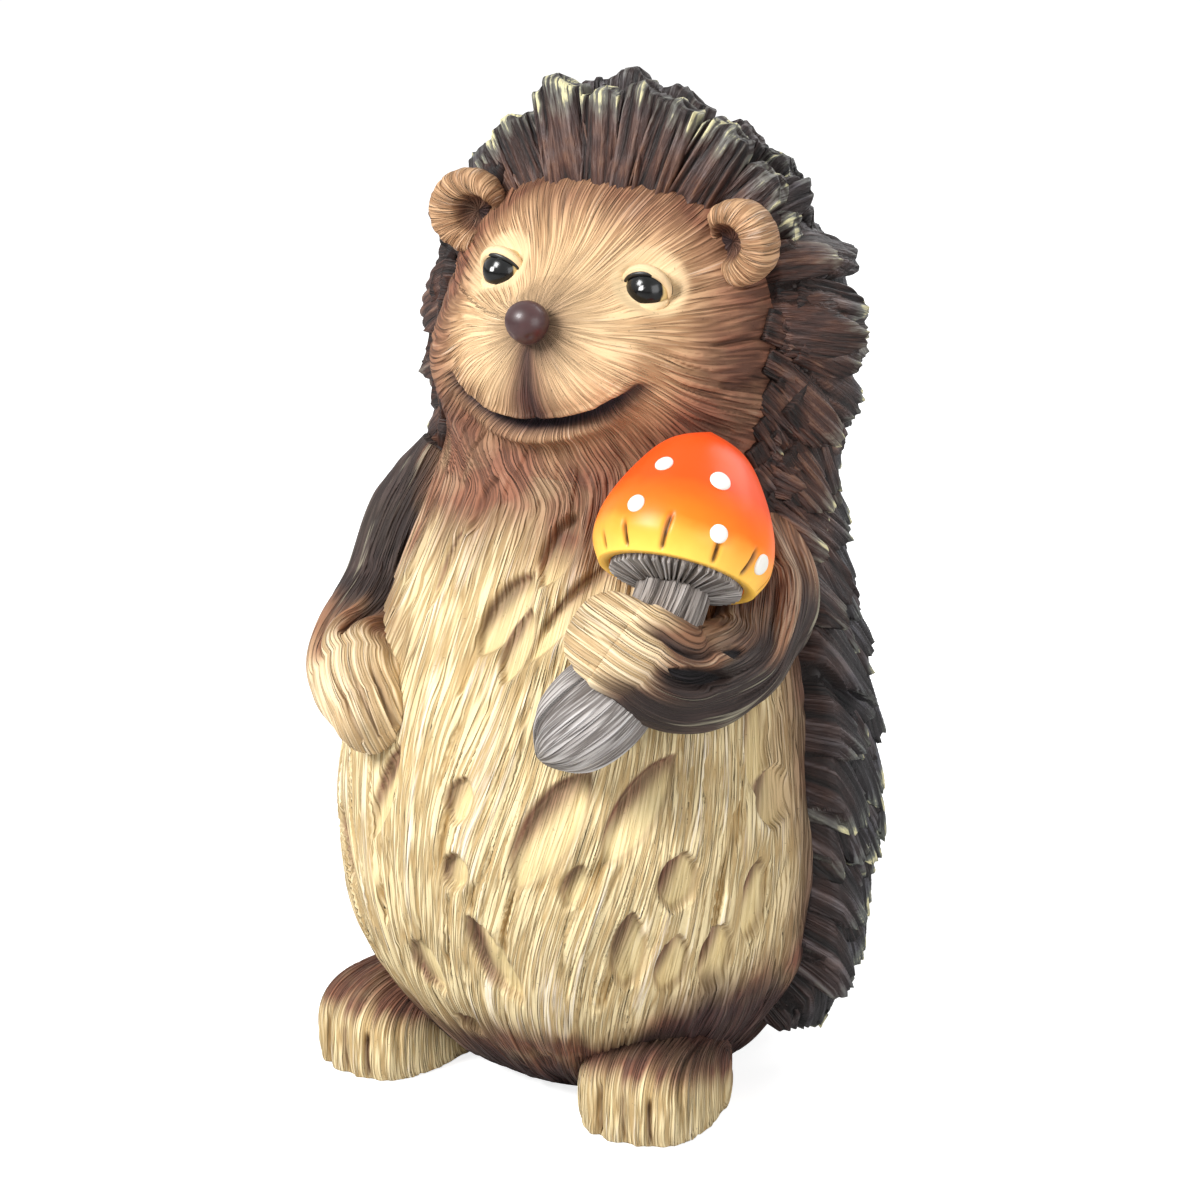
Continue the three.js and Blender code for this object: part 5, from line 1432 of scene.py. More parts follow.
@dataclass
class QuillCoat:
    """Coat of overlapping quill locks: a sheet over the back whose height is the tallest of the locks there.

    Each lock is a wedge that rises from its root to a blunt tip, domed across and ridged along. The locks
    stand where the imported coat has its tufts, and smaller ones run on to the face.
    """

    form: BodyForm
    floor: float = 15.0
    rows: int = 290
    columns: int = 340
    pitch: float = 13.5
    length: float = 20.0
    width: float = 14.0
    tall: float = 5.2
    base: float = 0.72
    overhang: float = 0.85
    ridge_pitch: float = 2.3
    spare: int = 3
    seat_height: float = 128.0
    seat_half: float = 27.8
    inner_pole: Point = (0, 14, 110)
    depth_at: Row = (0, 30, 90, 130, 180, 230)
    depth: Row = (4, 5.5, 6, 6.5, 8, 9)
    edge: Rows = (
        (-20, -6, 4), (40, -10, 3), (80, -12, 2), (122, -1, 4),
        (158, 5, 6), (188, 5, 6), (203, -1, -1), (250, -3, -3),
    )
    ruff_at: Row = (0, 100, 128, 150, 165, 188, 200, 211)
    ruff: Row = (2, 2, 5, 12, 13, 9, 3, 0)

    def __post_init__(self) -> None:
        """Measures the back's rising line and samples the coat's front edges."""
        self.walked = walk(self.form.line[:, [3, 0]])
        self.edge_line = spline(self.edge, np.linspace(0, 1, 400))

    def height_at(self, share_up: Array) -> Array:
        """Height at shares of the back's length."""
        return np.interp(share_up * self.walked[-1], self.walked, self.form.line[:, 0])

    def share_at(self, height: Array | float) -> Array:
        """Share of the back's length at heights."""
        return np.interp(height, self.form.line[:, 0], self.walked) / self.walked[-1]

    def depth_here(self, height: Array) -> Array:
        """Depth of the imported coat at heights."""
        return np.interp(height, self.depth_at, self.depth)

    def span(self, height: Array) -> tuple[Array, Array]:
        """Angle of the coat's left edge and turn to its right one: arc cosine of (middle - edge) / depth."""
        _, middle, depth = self.form.reach(height)
        edges = (np.interp(height, self.edge_line[:, 0], self.edge_line[:, k]) for k in (1, 2))
        left, right = (np.arccos(np.clip((middle - edge) / depth, -1, 1)) for edge in edges)
        return left, 2 * np.pi - right - left

    def skin(self, share_up: Array, angle: Array) -> tuple[Array, Array]:
        """Points and normals of the smooth body, at shares of the back's length and angles."""
        samples = np.arange(len(self.walked))

        def point(share: Array) -> Array:
            """The body's point at a share of the back's length."""
            at = np.interp(share * self.walked[-1], self.walked, samples)
            height, side, front, back = (np.interp(at, samples, column) for column in self.form.line.T)
            return section(side, (back - front) / 2, (back + front) / 2, angle, height)

        low, high = (point(np.clip(share_up + step, 0, 1)) for step in (-0.003, 0.003))
        here = point(share_up)
        side, _, depth = self.form.reach(here[..., 2])
        turn = stacked(side * np.cos(angle), depth * np.sin(angle), 0)
        return here, unit(np.cross(turn, high - low))

    def flow(self, points: Array, normals: Array) -> Array:
        """Way that the locks lie on the skin: back and out, rising on the crown, falling on the flanks."""
        fall = np.clip((200 - points[..., 2]) / 52, -0.45, 1.3)
        wish = stacked(0.3 * np.tanh(points[..., 0] / 12), 0.75, -fall)
        return unit(wish - (wish * normals).sum(-1, keepdims=True) * normals)

    def locks(self) -> dict[str, Array]:
        """Table of the locks by row and column, with a few spare columns on each side that reach the face."""
        rows = round(self.walked[-1] / self.pitch)
        share_up = (np.arange(rows) + 0.6) / rows
        height = self.height_at(share_up)
        start, turn = self.span(height)
        depth = self.depth_here(height)
        around = turn * (self.form.reach(height)[0] + depth)
        counts = np.maximum(3, np.round(around / self.pitch)).astype(int)
        columns = np.arange(-self.spare, counts.max() + self.spare + 1)
        i, j = np.meshgrid(np.arange(rows), columns, indexing="ij")
        share = (j + 0.5 * (i % 2) + 0.22 * scatter(i, j, 1)) / counts[:, None]
        point, normal = self.skin(share_up[:, None] + 0 * share, start[:, None] + turn[:, None] * share)
        root = point + normal * (0.6 * depth)[:, None, None]
        way = self.flow(root, normal)
        sway = 0.3 * scatter(i, j, 4)[..., None]
        across = np.cross(normal, way)
        size = 1 + 0.18 * scatter(i, j, 3)
        return {
            "counts": counts,
            "root": root,
            "way": unit(way + sway * across),
            "across": unit(across - sway * way),
            "length": self.length * size,
            "width": self.width * size,
            "tall": self.tall * (1 + 0.3 * scatter(i, j, 2)),
            "phase": 3 + 3 * scatter(i, j, 5),
            "there": (share > -0.7) & (share < 1.7),
        }

    def heights(self, base: Array, share_up: Array, share: Array) -> dict[str, Array]:
        """Tallest lock at each point of the sheet, among the locks of the rows and columns round it."""
        table = self.locks()
        counts = table.pop("counts")
        rows, last = len(counts), table["root"].shape[1] - 1
        best = {key: np.zeros(share.shape) for key in ("height", "tip", "ridge", "across", "along", "pale")}
        best["way"] = np.zeros(base.shape)
        near_row = np.round(share_up * rows - 0.6).astype(int)
        steps = [(row_step, column_step) for row_step in range(-2, 3) for column_step in range(-2, 3)]
        for row_step, column_step in steps:
            row = np.clip(near_row + row_step, 0, rows - 1)
            near = np.round(share * counts[row] - 0.5 * (row % 2)).astype(int) + self.spare
            column = np.clip(near + column_step, 0, last)
            lock = {key: values[row, column] for key, values in table.items()}
            offset = base - lock["root"]
            along = (offset * lock["way"]).sum(-1)
            across = (offset * lock["across"]).sum(-1)
            part = along / lock["length"]
            out = across / (lock["width"] / 2 * (1 - 0.35 * np.clip(part, 0, 1) ** 2))
            strand = across + 60 * lock["phase"]
            ragged = 0.16 * streaks(strand, 0 * across, 1.7, 9, 98)
            end = smooth(1.06, 0.97, part + 0.14 * out**2 + ragged)
            dome = np.sqrt(np.clip(1 - out**2, 0, 1))
            inside = (np.abs(out) < 1) & (part > -0.2) & lock["there"]
            rise = 0.12 + 0.88 * np.clip(part + 0.1, 0, 1) ** 0.9
            ridge = np.cos(2 * np.pi * across / self.ridge_pitch + lock["phase"])
            strokes = smooth(0.25, 0.75, streaks(strand, along, 1.25, 12, 99)) - 0.5
            body = lock["tall"] * rise * (0.35 + 0.65 * dome)
            height = (body + (0.35 * ridge + 0.75 * strokes) * (0.4 + 0.6 * dome)) * end * inside
            better = height > best["height"]
            values = {
                "height": height,
                "tip": np.clip(part, 0, 1),
                "ridge": np.clip(0.5 + 0.25 * ridge + 0.6 * strokes, 0, 1) * (0.35 + 0.65 * dome),
                "across": strand,
                "along": along,
                "pale": lattice(np.floor(lock["phase"] * 1000), row, 17),
            }
            for key, value in values.items():
                best[key] = np.where(better, value, best[key])
            best["way"] = np.where(better[..., None], lock["way"], best["way"])
        return best

    def build(self) -> None:
        """Lifts the sheet by its locks, sinks its border into the body and closes it from inside."""
        hem = self.share_at(self.floor)
        share_up = np.linspace(hem, 0.985, self.rows)[:, None] + np.zeros((1, self.columns))
        height = self.height_at(share_up[:, :1])
        start, turn = self.span(height)
        spread = turn * (self.form.reach(height)[0] + 4)
        ruff = np.interp(height, self.ruff_at, self.ruff) / spread
        share = mix(-ruff, 1 + ruff, np.linspace(0, 1, self.columns)[None, :])
        skin, normal = self.skin(share_up, start + turn * share)
        inside = np.minimum(share, 1 - share) * spread
        outer = np.minimum(share + ruff, 1 + ruff - share) * spread
        grown = smooth(-13, 3, inside)
        tuck = smooth(0, 1.6, outer) * smooth(hem, hem + 0.012, share_up)
        depth = self.base * self.depth_here(height)
        base = skin + normal * depth[..., None]
        best = self.heights(base, share_up, share)
        x, y, z = xyz(base)
        beside = np.maximum(np.abs(x), np.abs(z - self.seat_height) / 0.95) - self.seat_half
        clear = np.where(y > 0, smooth(0, 5, beside), 1) * mix(1, smooth(24, 34, y), smooth(190, 203, z))
        lift = best["height"] * clear * tuck * mix(0.5, 1, grown)
        brow = smooth(195, 203, z) * smooth(16, 5, y)
        level = mix(mix(-2.5, depth * mix(0.1, 1, grown), tuck), -2.0, brow)
        grid = skin + normal * (level + lift)[..., None]
        grid = inside_box(grid + best["way"] * (self.overhang * lift * best["tip"])[..., None])
        crevice = smooth(0.3, 2.6, best["height"])
        high = smooth(95, 150, z)
        # Dry brush varies lock by lock, and thins above about 178 mm, where the locks are left dark as painted
        # shade beside the crest.
        worn = (0.5 + 0.6 * best["pale"]) * (1 - 0.4 * smooth(178, 196, z))
        marks = {
            "relief": np.clip(best["ridge"] * (0.2 + 0.8 * crevice), 0, 1),
            "tip": np.clip(smooth(0.35, 0.9, best["tip"]) * crevice * worn * (0.4 + 0.6 * grown), 0, 1),
            "brown": np.clip(smooth(6 + 18 * high, -2, inside) * (0.3 + 0.7 * high) + 0.08, 0, 1),
        }
        count = self.rows * self.columns
        number = np.arange(count).reshape(self.rows, self.columns)
        loop = np.concatenate([number[:-1, 0], number[-1, :-1], number[:0:-1, -1], number[0, :0:-1]])
        faces = grid_faces(self.rows, self.columns, wrap_columns=False) + fan_faces(loop, count)
        points = np.concatenate([grid.reshape(-1, 3), [self.inner_pole]])
        hair = stacked(*(np.append(best[key], 0) for key in ("across", "along")))
        marks = {key: np.append(value, value.mean()) for key, value in marks.items()}
        paint = QUILL_PAINT.material()
        make_piece("quill_locks", points, faces, paint, Slot.QUILL, marks, hair, ("quill_coat",))


@dataclass(frozen=True)
class Slab:
    """Thick lock of quills: rounded-rectangle rings along a line, with strands and a ragged blunt end.

    Half width is width / 2 (0.8 + 0.32 s - point s^3) and half thickness thick / 2 (1.05 - thin s) at the
    share s of its length.
    """

    width: float
    thick: float
    length: float
    point: float = 0.22
    thin: float = 0.3
    ridge_pitch: float = 1.75
    strand: float = 1.1
    ring: int = 84
    steps: int = 44

    def grow(
        self, root: Array, way: Array, facing: Array, salt: int, size: float = 1.0
    ) -> tuple[Array, Marks, Array]:
        """Works out one slab.

        Args:
            root: where it starts.
            way: the way that it points.
            facing: the way that its broad face looks, roughly.
            salt: picks its own pattern.
            size: scales its length.

        Returns:
            Its rings, its marks relief, tip and brown, and its hair coordinates.
        """
        share = np.linspace(0, 1, self.steps)[:, None]
        turn = round_angles(self.ring)
        across = unit(np.cross(way, facing))
        inward = np.cross(way, across)
        phase, tall = scatter(np.array([salt, salt]), np.array([3, 4]), 5)
        close = np.sqrt(np.clip(1 - np.clip((share - 0.93) / 0.07, 0, 1) ** 2, 0.02, 1))
        half = self.width * (1 + 0.16 * tall) / 2 * (0.8 + 0.32 * share - self.point * share**3) * close
        deep = self.thick / 2 * (1.05 - self.thin * share) * close
        u, w = signed_power(np.cos(turn), 0.6), signed_power(np.sin(turn), 0.6)
        x = half * u
        length = self.length * size
        strand = x + 40 * salt
        ridge = np.cos(2 * np.pi * x / self.ridge_pitch + 3 * phase)
        strokes = smooth(0.25, 0.75, streaks(strand, share * length, 1.1, 14, 111)) - 0.5
        swell = (0.45 * ridge + self.strand * strokes) * np.abs(w) ** 0.5 * smooth(0, 0.12, share) * close
        ragged = 3.2 * (streaks(strand, 0 * x, 1.9, 9, 112) - 0.5) + 1.2 * tall
        along = share * length - 1.6 * u**2 * share**2 + ragged * share**3
        y = deep * w + np.sign(w) * swell
        grid = inside_box(root + along[..., None] * way + x[..., None] * across + y[..., None] * inward)
        marks = {
            "relief": np.clip(0.5 + 0.22 * ridge + 0.65 * strokes - 0.55 * smooth(0.4, 0, share), 0, 1),
            "tip": np.clip(smooth(0.4, 1.0, share) * (0.7 + 0.3 * phase), 0, 1),
            "brown": np.clip(1.15 - 0.75 * share, 0, 1),
        }
        return grid, marks, stacked(strand, along)


@dataclass(frozen=True)
class CrestRow:
    """One row of the crest: how many slabs, how far back, their lean and rise, and their share of length."""

    count: int
    back: float
    lean: float
    rise: float
    tall: float


@dataclass
class Crest:
    """Tall ridged slabs that fan out over the brow from ear to ear, in rows one behind the other."""

    crown: float = 211.0
    reach: float = 30.0
    arch: float = 27.0
    foot: float = 34.0
    bow: float = 8.0
    sunk: float = 2.0
    spread: float = 54.0
    slab: Slab = Slab(width=13.5, thick=9.0, length=29.0)
    rows: tuple[CrestRow, ...] = (
        CrestRow(10, 0.6, 0.12, 0.0, 1.0),
        CrestRow(9, 9.0, 0.3, 0.0, 0.97),
        CrestRow(8, 18.0, 0.6, -3.0, 0.9),
    )

    def build(self) -> None:
        """Makes each row of slabs as one piece of separate closed forms."""
        material = QUILL_PAINT.material()
        front = np.array([0.0, -1.0, 0.0])
        for number, row in enumerate(self.rows):
            bundle = Bundle()
            for i in range(row.count):
                share = 2 * i / (row.count - 1) - 1
                jitter, size = scatter(np.array([number, number]), np.array([i, i + 20]), 5)
                angle = np.radians(self.spread * share) + 0.05 * jitter
                height = self.crown - self.foot + self.arch * np.cos(angle) + row.rise - self.sunk
                back = row.back + self.bow * np.sin(angle) ** 2
                root = np.array([self.reach * np.sin(angle), back, height])
                way = unit(np.array([np.sin(angle), row.lean, np.cos(angle)]))
                size = row.tall * (1 - 0.33 * share**2 + 0.05 * size)
                grid, marks, hair = self.slab.grow(root, way, front, 40 * number + i, size)
                marks["brown"] = marks["brown"] * (1 - 0.35 * number)
                bundle.add(grid, marks, hair)
            bundle.make(f"crest_row_{number + 1}", material, Slot.QUILL)


@dataclass(frozen=True)
class LockRow:
    """One upright row of thick locks: their slab, how far behind the coat's edge, heights and spacing."""

    slab: Slab
    inset: float
    low: float
    high: float
    step: float
    sunk: float
    lift: float


BROAD_LOCK = Slab(12.0, 5.6, 21.0, point=0.6, thin=0.6, strand=0.9, ring=44, steps=22)
FINE_LOCK = Slab(8.0, 3.4, 15.0, point=0.82, thin=0.8, ridge_pitch=1.3, strand=0.8, ring=36, steps=18)


@dataclass
class RimLocks:
    """Thick locks along both front edges of the coat, which overlap downwards like slates."""

    coat: QuillCoat
    rows: tuple[LockRow, ...] = (
        LockRow(FINE_LOCK, -4.0, 134.0, 184.0, 6.5, 0.05, 0.12),
        LockRow(FINE_LOCK, 1.0, 130.0, 190.0, 6.5, 0.12, 0.16),
        LockRow(BROAD_LOCK, 5.0, 26.0, 200.0, 11.5, 0.35, 0.2),
        LockRow(BROAD_LOCK, 15.0, 31.75, 200.0, 11.5, 0.35, 0.2),
    )
    first_salt: int = 301

    def lock(self, side: Side, row: LockRow, height: float, salt: int) -> tuple[Array, Marks, Array]:
        """One lock: rooted on the smooth body beside the edge, along the coat's flow and tipped outwards."""
        coat = self.coat
        jitter, size, sway = scatter(np.array([salt] * 3), np.array([1, 2, 3]), 7)
        level = np.array(height + 0.25 * row.step * jitter)
        start, turn = coat.span(level)
        off = (row.inset - 0.8 * np.interp(level, coat.ruff_at, coat.ruff)) / coat.form.reach(level)[0]
        angle = start + off if side is Side.LEFT else start + turn - off
        (skin,), (normal,) = coat.skin(np.array([coat.share_at(level)]), np.array([angle]))
        root = skin + normal * row.sunk * coat.depth_here(level)
        flow = coat.flow(root, normal)
        way = unit(flow + row.lift * normal + 0.16 * sway * np.cross(normal, flow))
        grid, marks, hair = row.slab.grow(root, way, normal, salt, 0.9 + 0.16 * size)
        # Brown grows towards the face; above about 178 mm it gives way to coal as painted shade beside the
        # crest.
        brown = mix(0.35, 1.0, smooth(100, 150, level)) * mix(1.0, 0.35, smooth(178, 192, level))
        return grid, marks | {"brown": marks["brown"] * brown}, hair

    def build(self) -> None:
        """Gathers the locks of every row on both sides into one piece."""
        bundle, salt = Bundle(), self.first_salt
        for side in Side:
            for row in self.rows:
                for height in np.arange(row.low, row.high, row.step):
                    bundle.add(*self.lock(side, row, height, salt))
                    salt += 1
        bundle.make("rim_locks", QUILL_PAINT.material(), Slot.QUILL)


# Toadstool


@dataclass
class Toadstool:
    """Lamp: a glowing cap with white spots, a gill plate with fins and a grooved stem."""

    foot: Point = (16, -63, 94)
    top: Point = (41, -46.5, 135.7)
    axis: Point = (-0.05, 0.58, 0.81)
    bend: float = 24.0
    stem_radii: Row = (4, 9.5, 11, 10.2, 9, 8.2, 8, 8)
    stem_strokes: int = 46
    cap_radius: float = 19.6
    cap_height: float = 32.0
    cap_wall: float = 2.4
    gill_drop: float = 4.0
    gill_bore: float = 6.5
    gill_thick: float = 2.2
    fins: int = 54
    profile: Rows = ((0.88, -0.05), (1, 0.11), (0.96, 0.34), (0.745, 0.625), (0.45, 0.86), (0, 1))
    cuts: Rows = (
        (-128, 5.0), (-106, 7.0), (-77, 9.5), (-42, 6.5), (-14, 8.0),
        (22, 6.0), (58, 8.0), (96, 6.0), (135, 7.5), (178, 6.5),
    )
    spots: Rows = (
        (-95, 0.58, 2.0), (-48, 0.53, 2.3), (-101, 0.25, 2.0), (-44, 0.15, 2.0), (-3, 0.09, 2.3),
        (62, 0.3, 2.3), (75, 0.66, 1.9), (118, 0.12, 2.1), (150, 0.48, 2.2),
    )
    dome: Rows = ((1.0, -0.25), (1.02, 0.12), (0.95, 0.42), (0.8, 0.55), (0.55, 0.62), (0.28, 0.65))

    def in_cap(self, radius: Array, turn: Array, height: Array) -> Array:
        """Places of the cap's own frame, whose axis +Z is turned to the cap's axis the short way."""
        axis = unit(np.array(self.axis))
        v = np.cross([0, 0, 1], axis)
        skew = np.array([[0, -v[2], v[1]], [v[2], 0, -v[0]], [-v[1], v[0], 0]])
        rotation = np.eye(3) + skew + skew @ skew / (1 + axis[2])
        return stacked(radius * np.cos(turn), radius * np.sin(turn), height) @ rotation.T + np.array(self.top)

    def outline(self, share: Array) -> tuple[Array, Array]:
        """Radius and height of the cap's outside at shares of its profile, from the rim to the top."""
        line = spline(self.profile, share)
        return line[:, 0] * self.cap_radius, line[:, 1] * self.cap_height

    def build_cap(self) -> None:
        """A turned shell: outside from rim to top, inside a wall's thickness within; cuts press the rim in."""
        turn = round_angles(288)
        r, z = (part[:, None] for part in self.outline(np.linspace(0, 0.985, 110)))
        wave = 0.35 * (streaks(turn * 6, 0 * turn, 3, 9, 121) - 0.5)
        cut = 0 * r * turn
        for angle, length in self.cuts:
            gap = turn_from(turn, angle) * self.cap_radius + 0.12 * (z - 2) * np.sign(np.sin(angle))
            reach = smooth(length, length - 3, z + 1.6) * smooth(-1.6, 0.2, z)
            cut = np.maximum(cut, bell(gap, 0.55) * reach)
        outer = self.in_cap(r - 0.9 * cut + wave * smooth(6, -1, z), turn, z)
        r_in, z_in = (part[:, None] for part in self.outline(np.linspace(0.97, 0, 40)))
        z_in = z_in - self.cap_wall * z_in / self.cap_height
        inner = self.in_cap(np.maximum(r_in - self.cap_wall, 0.3), turn, z_in)
        poles = (inner[0].mean(axis=0), outer[-1].mean(axis=0) + 0.02 * unit(np.array(self.axis)))
        marks = {
            "rise": np.concatenate([z_in, z]) / self.cap_height,
            "cut": np.concatenate([np.zeros(inner.shape[:2]), np.clip(1.2 * cut, 0, 1)]),
        }
        cap = Bundle().add(np.concatenate([inner, outer]), marks, poles=poles)
        cap.make("cap_shell", CAP_PLASTIC.material(), Slot.CAP, "mushroom_cap")

    def build_spots(self) -> None:
        """Raised discs: a dome of rings laid on the cap by turning and rising from its middle."""
        radius, height = self.outline(np.linspace(0, 1, 160))
        walked = walk(stacked(radius, height))
        curves = (radius, height, np.gradient(radius, walked), np.gradient(height, walked))
        rings, lift = np.array(self.dome).T[..., None]
        turn = round_angles(28)
        bundle = Bundle()
        for angle, level, size in self.spots:
            middle = np.interp(level * self.cap_height, height, walked)
            along = middle + size * rings * np.sin(turn)
            around = np.radians(angle) + size * rings * np.cos(turn) / np.interp(middle, walked, radius)
            r, z, run, rise = (np.interp(along, walked, values) for values in curves)
            slope = np.arctan2(rise, run)
            bundle.add(self.in_cap(r + lift * np.sin(slope), around, z - lift * np.cos(slope)))
        bundle.make("cap_spots", SPOT_PAINT.material(), Slot.CAP)

    def build_gills(self) -> None:
        """Shallow cone under the cap, closed above, whose underside is pressed into fins that run in."""
        turn = round_angles(432)
        share = np.linspace(0, 1, 26)[:, None]
        rim, rim_height = self.profile[0][0] * self.cap_radius, self.profile[0][1] * self.cap_height
        r = mix(self.gill_bore, rim - self.cap_wall - 0.3, share)
        slope = mix(-self.gill_drop, rim_height, share)
        fin = np.cos(self.fins * turn + 5 * (streaks(turn * 9, 0 * turn, 2, 9, 131) - 0.5))
        low = self.in_cap(r, turn, slope - 0.8 * (fin > 0) * smooth(0, 0.2, share) - 0.4 * fin)
        top = self.in_cap(r[::-1], turn, slope[::-1] + self.gill_thick)
        hair = stacked(turn * 20, share * 10)
        fine = streaks(hair[..., 0], hair[..., 1], 1.2, 6, 132)
        relief = np.clip(0.6 + 0.4 * fin + 0.4 * (fine - 0.5), 0, 1)
        marks = {
            "relief": np.concatenate([relief, relief]),
            "shade": 0.4,
            "dark": np.concatenate([0.3 * smooth(0.6, 0, share), 0 * share]),
            "bare": 0.0,
        }
        gills = Bundle().add_loop(np.concatenate([low, top]), marks, np.concatenate([hair, hair]))
        gills.make("gill_fins", STEM_PAINT.material(), Slot.GILL, "mushroom_gills")

    def build_stem(self) -> None:
        """A tube on a quadratic curve from the foot into the cap's axis, with grooves that run its length."""
        axis, foot, top = unit(np.array(self.axis)), np.array(self.foot), np.array(self.top)
        t = np.linspace(0, 1, 130)[:, None]
        turn_at, end = top - self.bend * axis, top - (self.gill_drop + 0.3) * axis
        path = (1 - t) ** 2 * foot + 2 * t * (1 - t) * turn_at + t**2 * end
        radii = spline(np.array(self.stem_radii)[:, None], t[:, 0])[:, 0]
        start = np.clip(t[:, 0] / 0.09, 0, 1)
        radii = radii * np.sqrt(np.clip(1 - (1 - start) ** 2, 0.003, 1))
        rings, out, angle = tube(path, radii, 168, np.array([0.0, -0.6, 0.8]))
        along = np.linspace(0, 55, len(path))[:, None]
        across = angle / (2 * np.pi) * self.stem_strokes
        wander = across + 1.2 * (streaks(across, along, 8, 20, 141) - 0.5)
        fine = streaks(wander, along, 1.0, 26, 142, self.stem_strokes)
        groove = smooth(0.55, 0.85, streaks(wander, along, 1.6, 34, 143))
        height = (0.5 * (fine - 0.5) - 0.85 * groove) * np.clip(radii[:, None] / 4, 0, 1)
        # Shade and dark grow towards the top of the stem as painted shade under the cap.
        marks = {
            "relief": np.clip(0.3 + 0.65 * fine - 0.6 * groove, 0, 1),
            "shade": 0.15 + 0.45 * smooth(30, 48, along),
            "dark": 0.15 * smooth(40, 54, along),
            "bare": 0.0,
        }
        stem = Bundle().add(rings + out * height[..., None], marks, stacked(wander, along))
        stem.make("stem_grooved", STEM_PAINT.material(), Slot.STEM, "mushroom_stem")

    def build(self) -> None:
        """Makes the cap, its spots, the gills and the stem."""
        self.build_cap()
        self.build_spots()
        self.build_gills()
        self.build_stem()


# Solar module


@dataclass
class SolarMount:
    """Plinth on the back that carries the solar module, and the module's bezel with a rolled edge."""

    seat: float = 60.0
    height: float = 128.0
    tilt: float = 18.0
    half: float = 27.8
    bezel_half: float = 24.8
    bezel_low: float = 1.6
    bezel_depth: float = 6.0
    pane_half: float = 21.3
    pane_drop: float = 2.2

    def placed(self, points: Array) -> Array:
        """Points of the panel's frame, +Z out of it and +Y up it, as points of the figure."""
        c, s = np.cos(np.radians(self.tilt)), np.sin(np.radians(self.tilt))
        axes = np.array([[-1.0, 0, 0], [0, -s, c], [0, c, s]])
        return points @ axes + np.array([0, self.seat, self.height])

    def square_rings(self, rows: Rows, corner: float, count: int) -> Array:
        """Rounded squares by half width and level: superellipses whose power follows the corner's share."""
        half, level = np.array(rows).T[..., None]
        turn, power = round_angles(count), 2 / (2 + 2.2 * half / corner)
        x, y = signed_power(np.cos(turn), power), signed_power(np.sin(turn), power)
        return stacked(half * x, half * y, level)

    def build_plinth(self, rows: int = 60, count: int = 160) -> None:
        """Rings that flare from the seat down into the coat, with quill strokes down them."""
        flare = (
            (34.0, -26.0), (31.5, -14.0), (29.5, -6.0), (28.2, -1.6),
            (self.half - 0.4, -0.4), (self.half - 1.6, 0.0), (12.0, 0.0),
        )
        rings = self.square_rings(flare, 7, count).reshape(len(flare), -1)
        rings = spline(rings, np.linspace(0, 1, rows)).reshape(rows, count, 3)
        turn, depth = np.arange(count)[None, :] / count * 120, rings[..., 2]
        fine = streaks(turn, depth, 1.1, 12, 151)
        wide = streaks(turn, depth, 3.4, 14, 152)
        swell = (0.7 * (fine - 0.5) + 1.8 * (wide - 0.5)) * smooth(0, -6, depth)
        grid = self.placed(rings + unit(rings * np.array([1, 1, 0])) * swell[..., None])
        marks = {
            "relief": np.clip(0.15 + 0.5 * fine + 0.4 * wide, 0, 1),
            "tip": 0.4 * smooth(-5, -1, depth),
            "brown": 0.15,
        }
        plinth = Bundle().add(grid, marks, stacked(turn, depth))
        plinth.make("solar_plinth", QUILL_PAINT.material(), Slot.QUILL)

    def build_bezel(self) -> None:
        """Rings over the bezel's outer edge, its face and the inner step for the pane."""
        wide, pane, low = self.bezel_half, self.pane_half, self.bezel_low
        top = low + self.bezel_depth
        step = top - self.pane_drop
        rings = (
            (pane - 3, low), (wide - 0.8, low), (wide, low + 0.8), (wide, top - 1.6), (wide - 0.5, top - 0.5),
            (wide - 1.6, top), (pane + 0.9, top), (pane + 0.2, top - 0.5), (pane, step - 1.0),
            (pane - 3, step - 1.6),
        )
        bezel = Bundle().add_loop(self.placed(self.square_rings(rings, 3.2, 240)))
        bezel.make("solar_frame", BLACK_ABS.material(), Slot.PLASTIC, "solar_bezel")

    def build(self) -> None:
        """Makes the plinth and the bezel."""
        self.build_plinth()
        self.build_bezel()


# Studio


@dataclass(frozen=True)
class SoftBox:
    """Square studio lamp: place and aim in millimetres, size and power."""

    name: str
    place: Point
    size: float
    watts: float
    aim: Point = (0, 0, 110)

    def build(self) -> None:
        """Puts the lamp up and turns it to its aim."""
        data = bpy.data.lights.new(self.name, "AREA")
        data.size, data.energy = self.size * MM, self.watts
        lamp = bpy.data.objects.new(self.name, data)
        bpy.context.scene.collection.objects.link(lamp)
        place, aim = Vector(self.place) * MM, Vector(self.aim) * MM
        lamp.location = place
        lamp.rotation_euler = (aim - place).to_track_quat("-Z", "Y").to_euler()


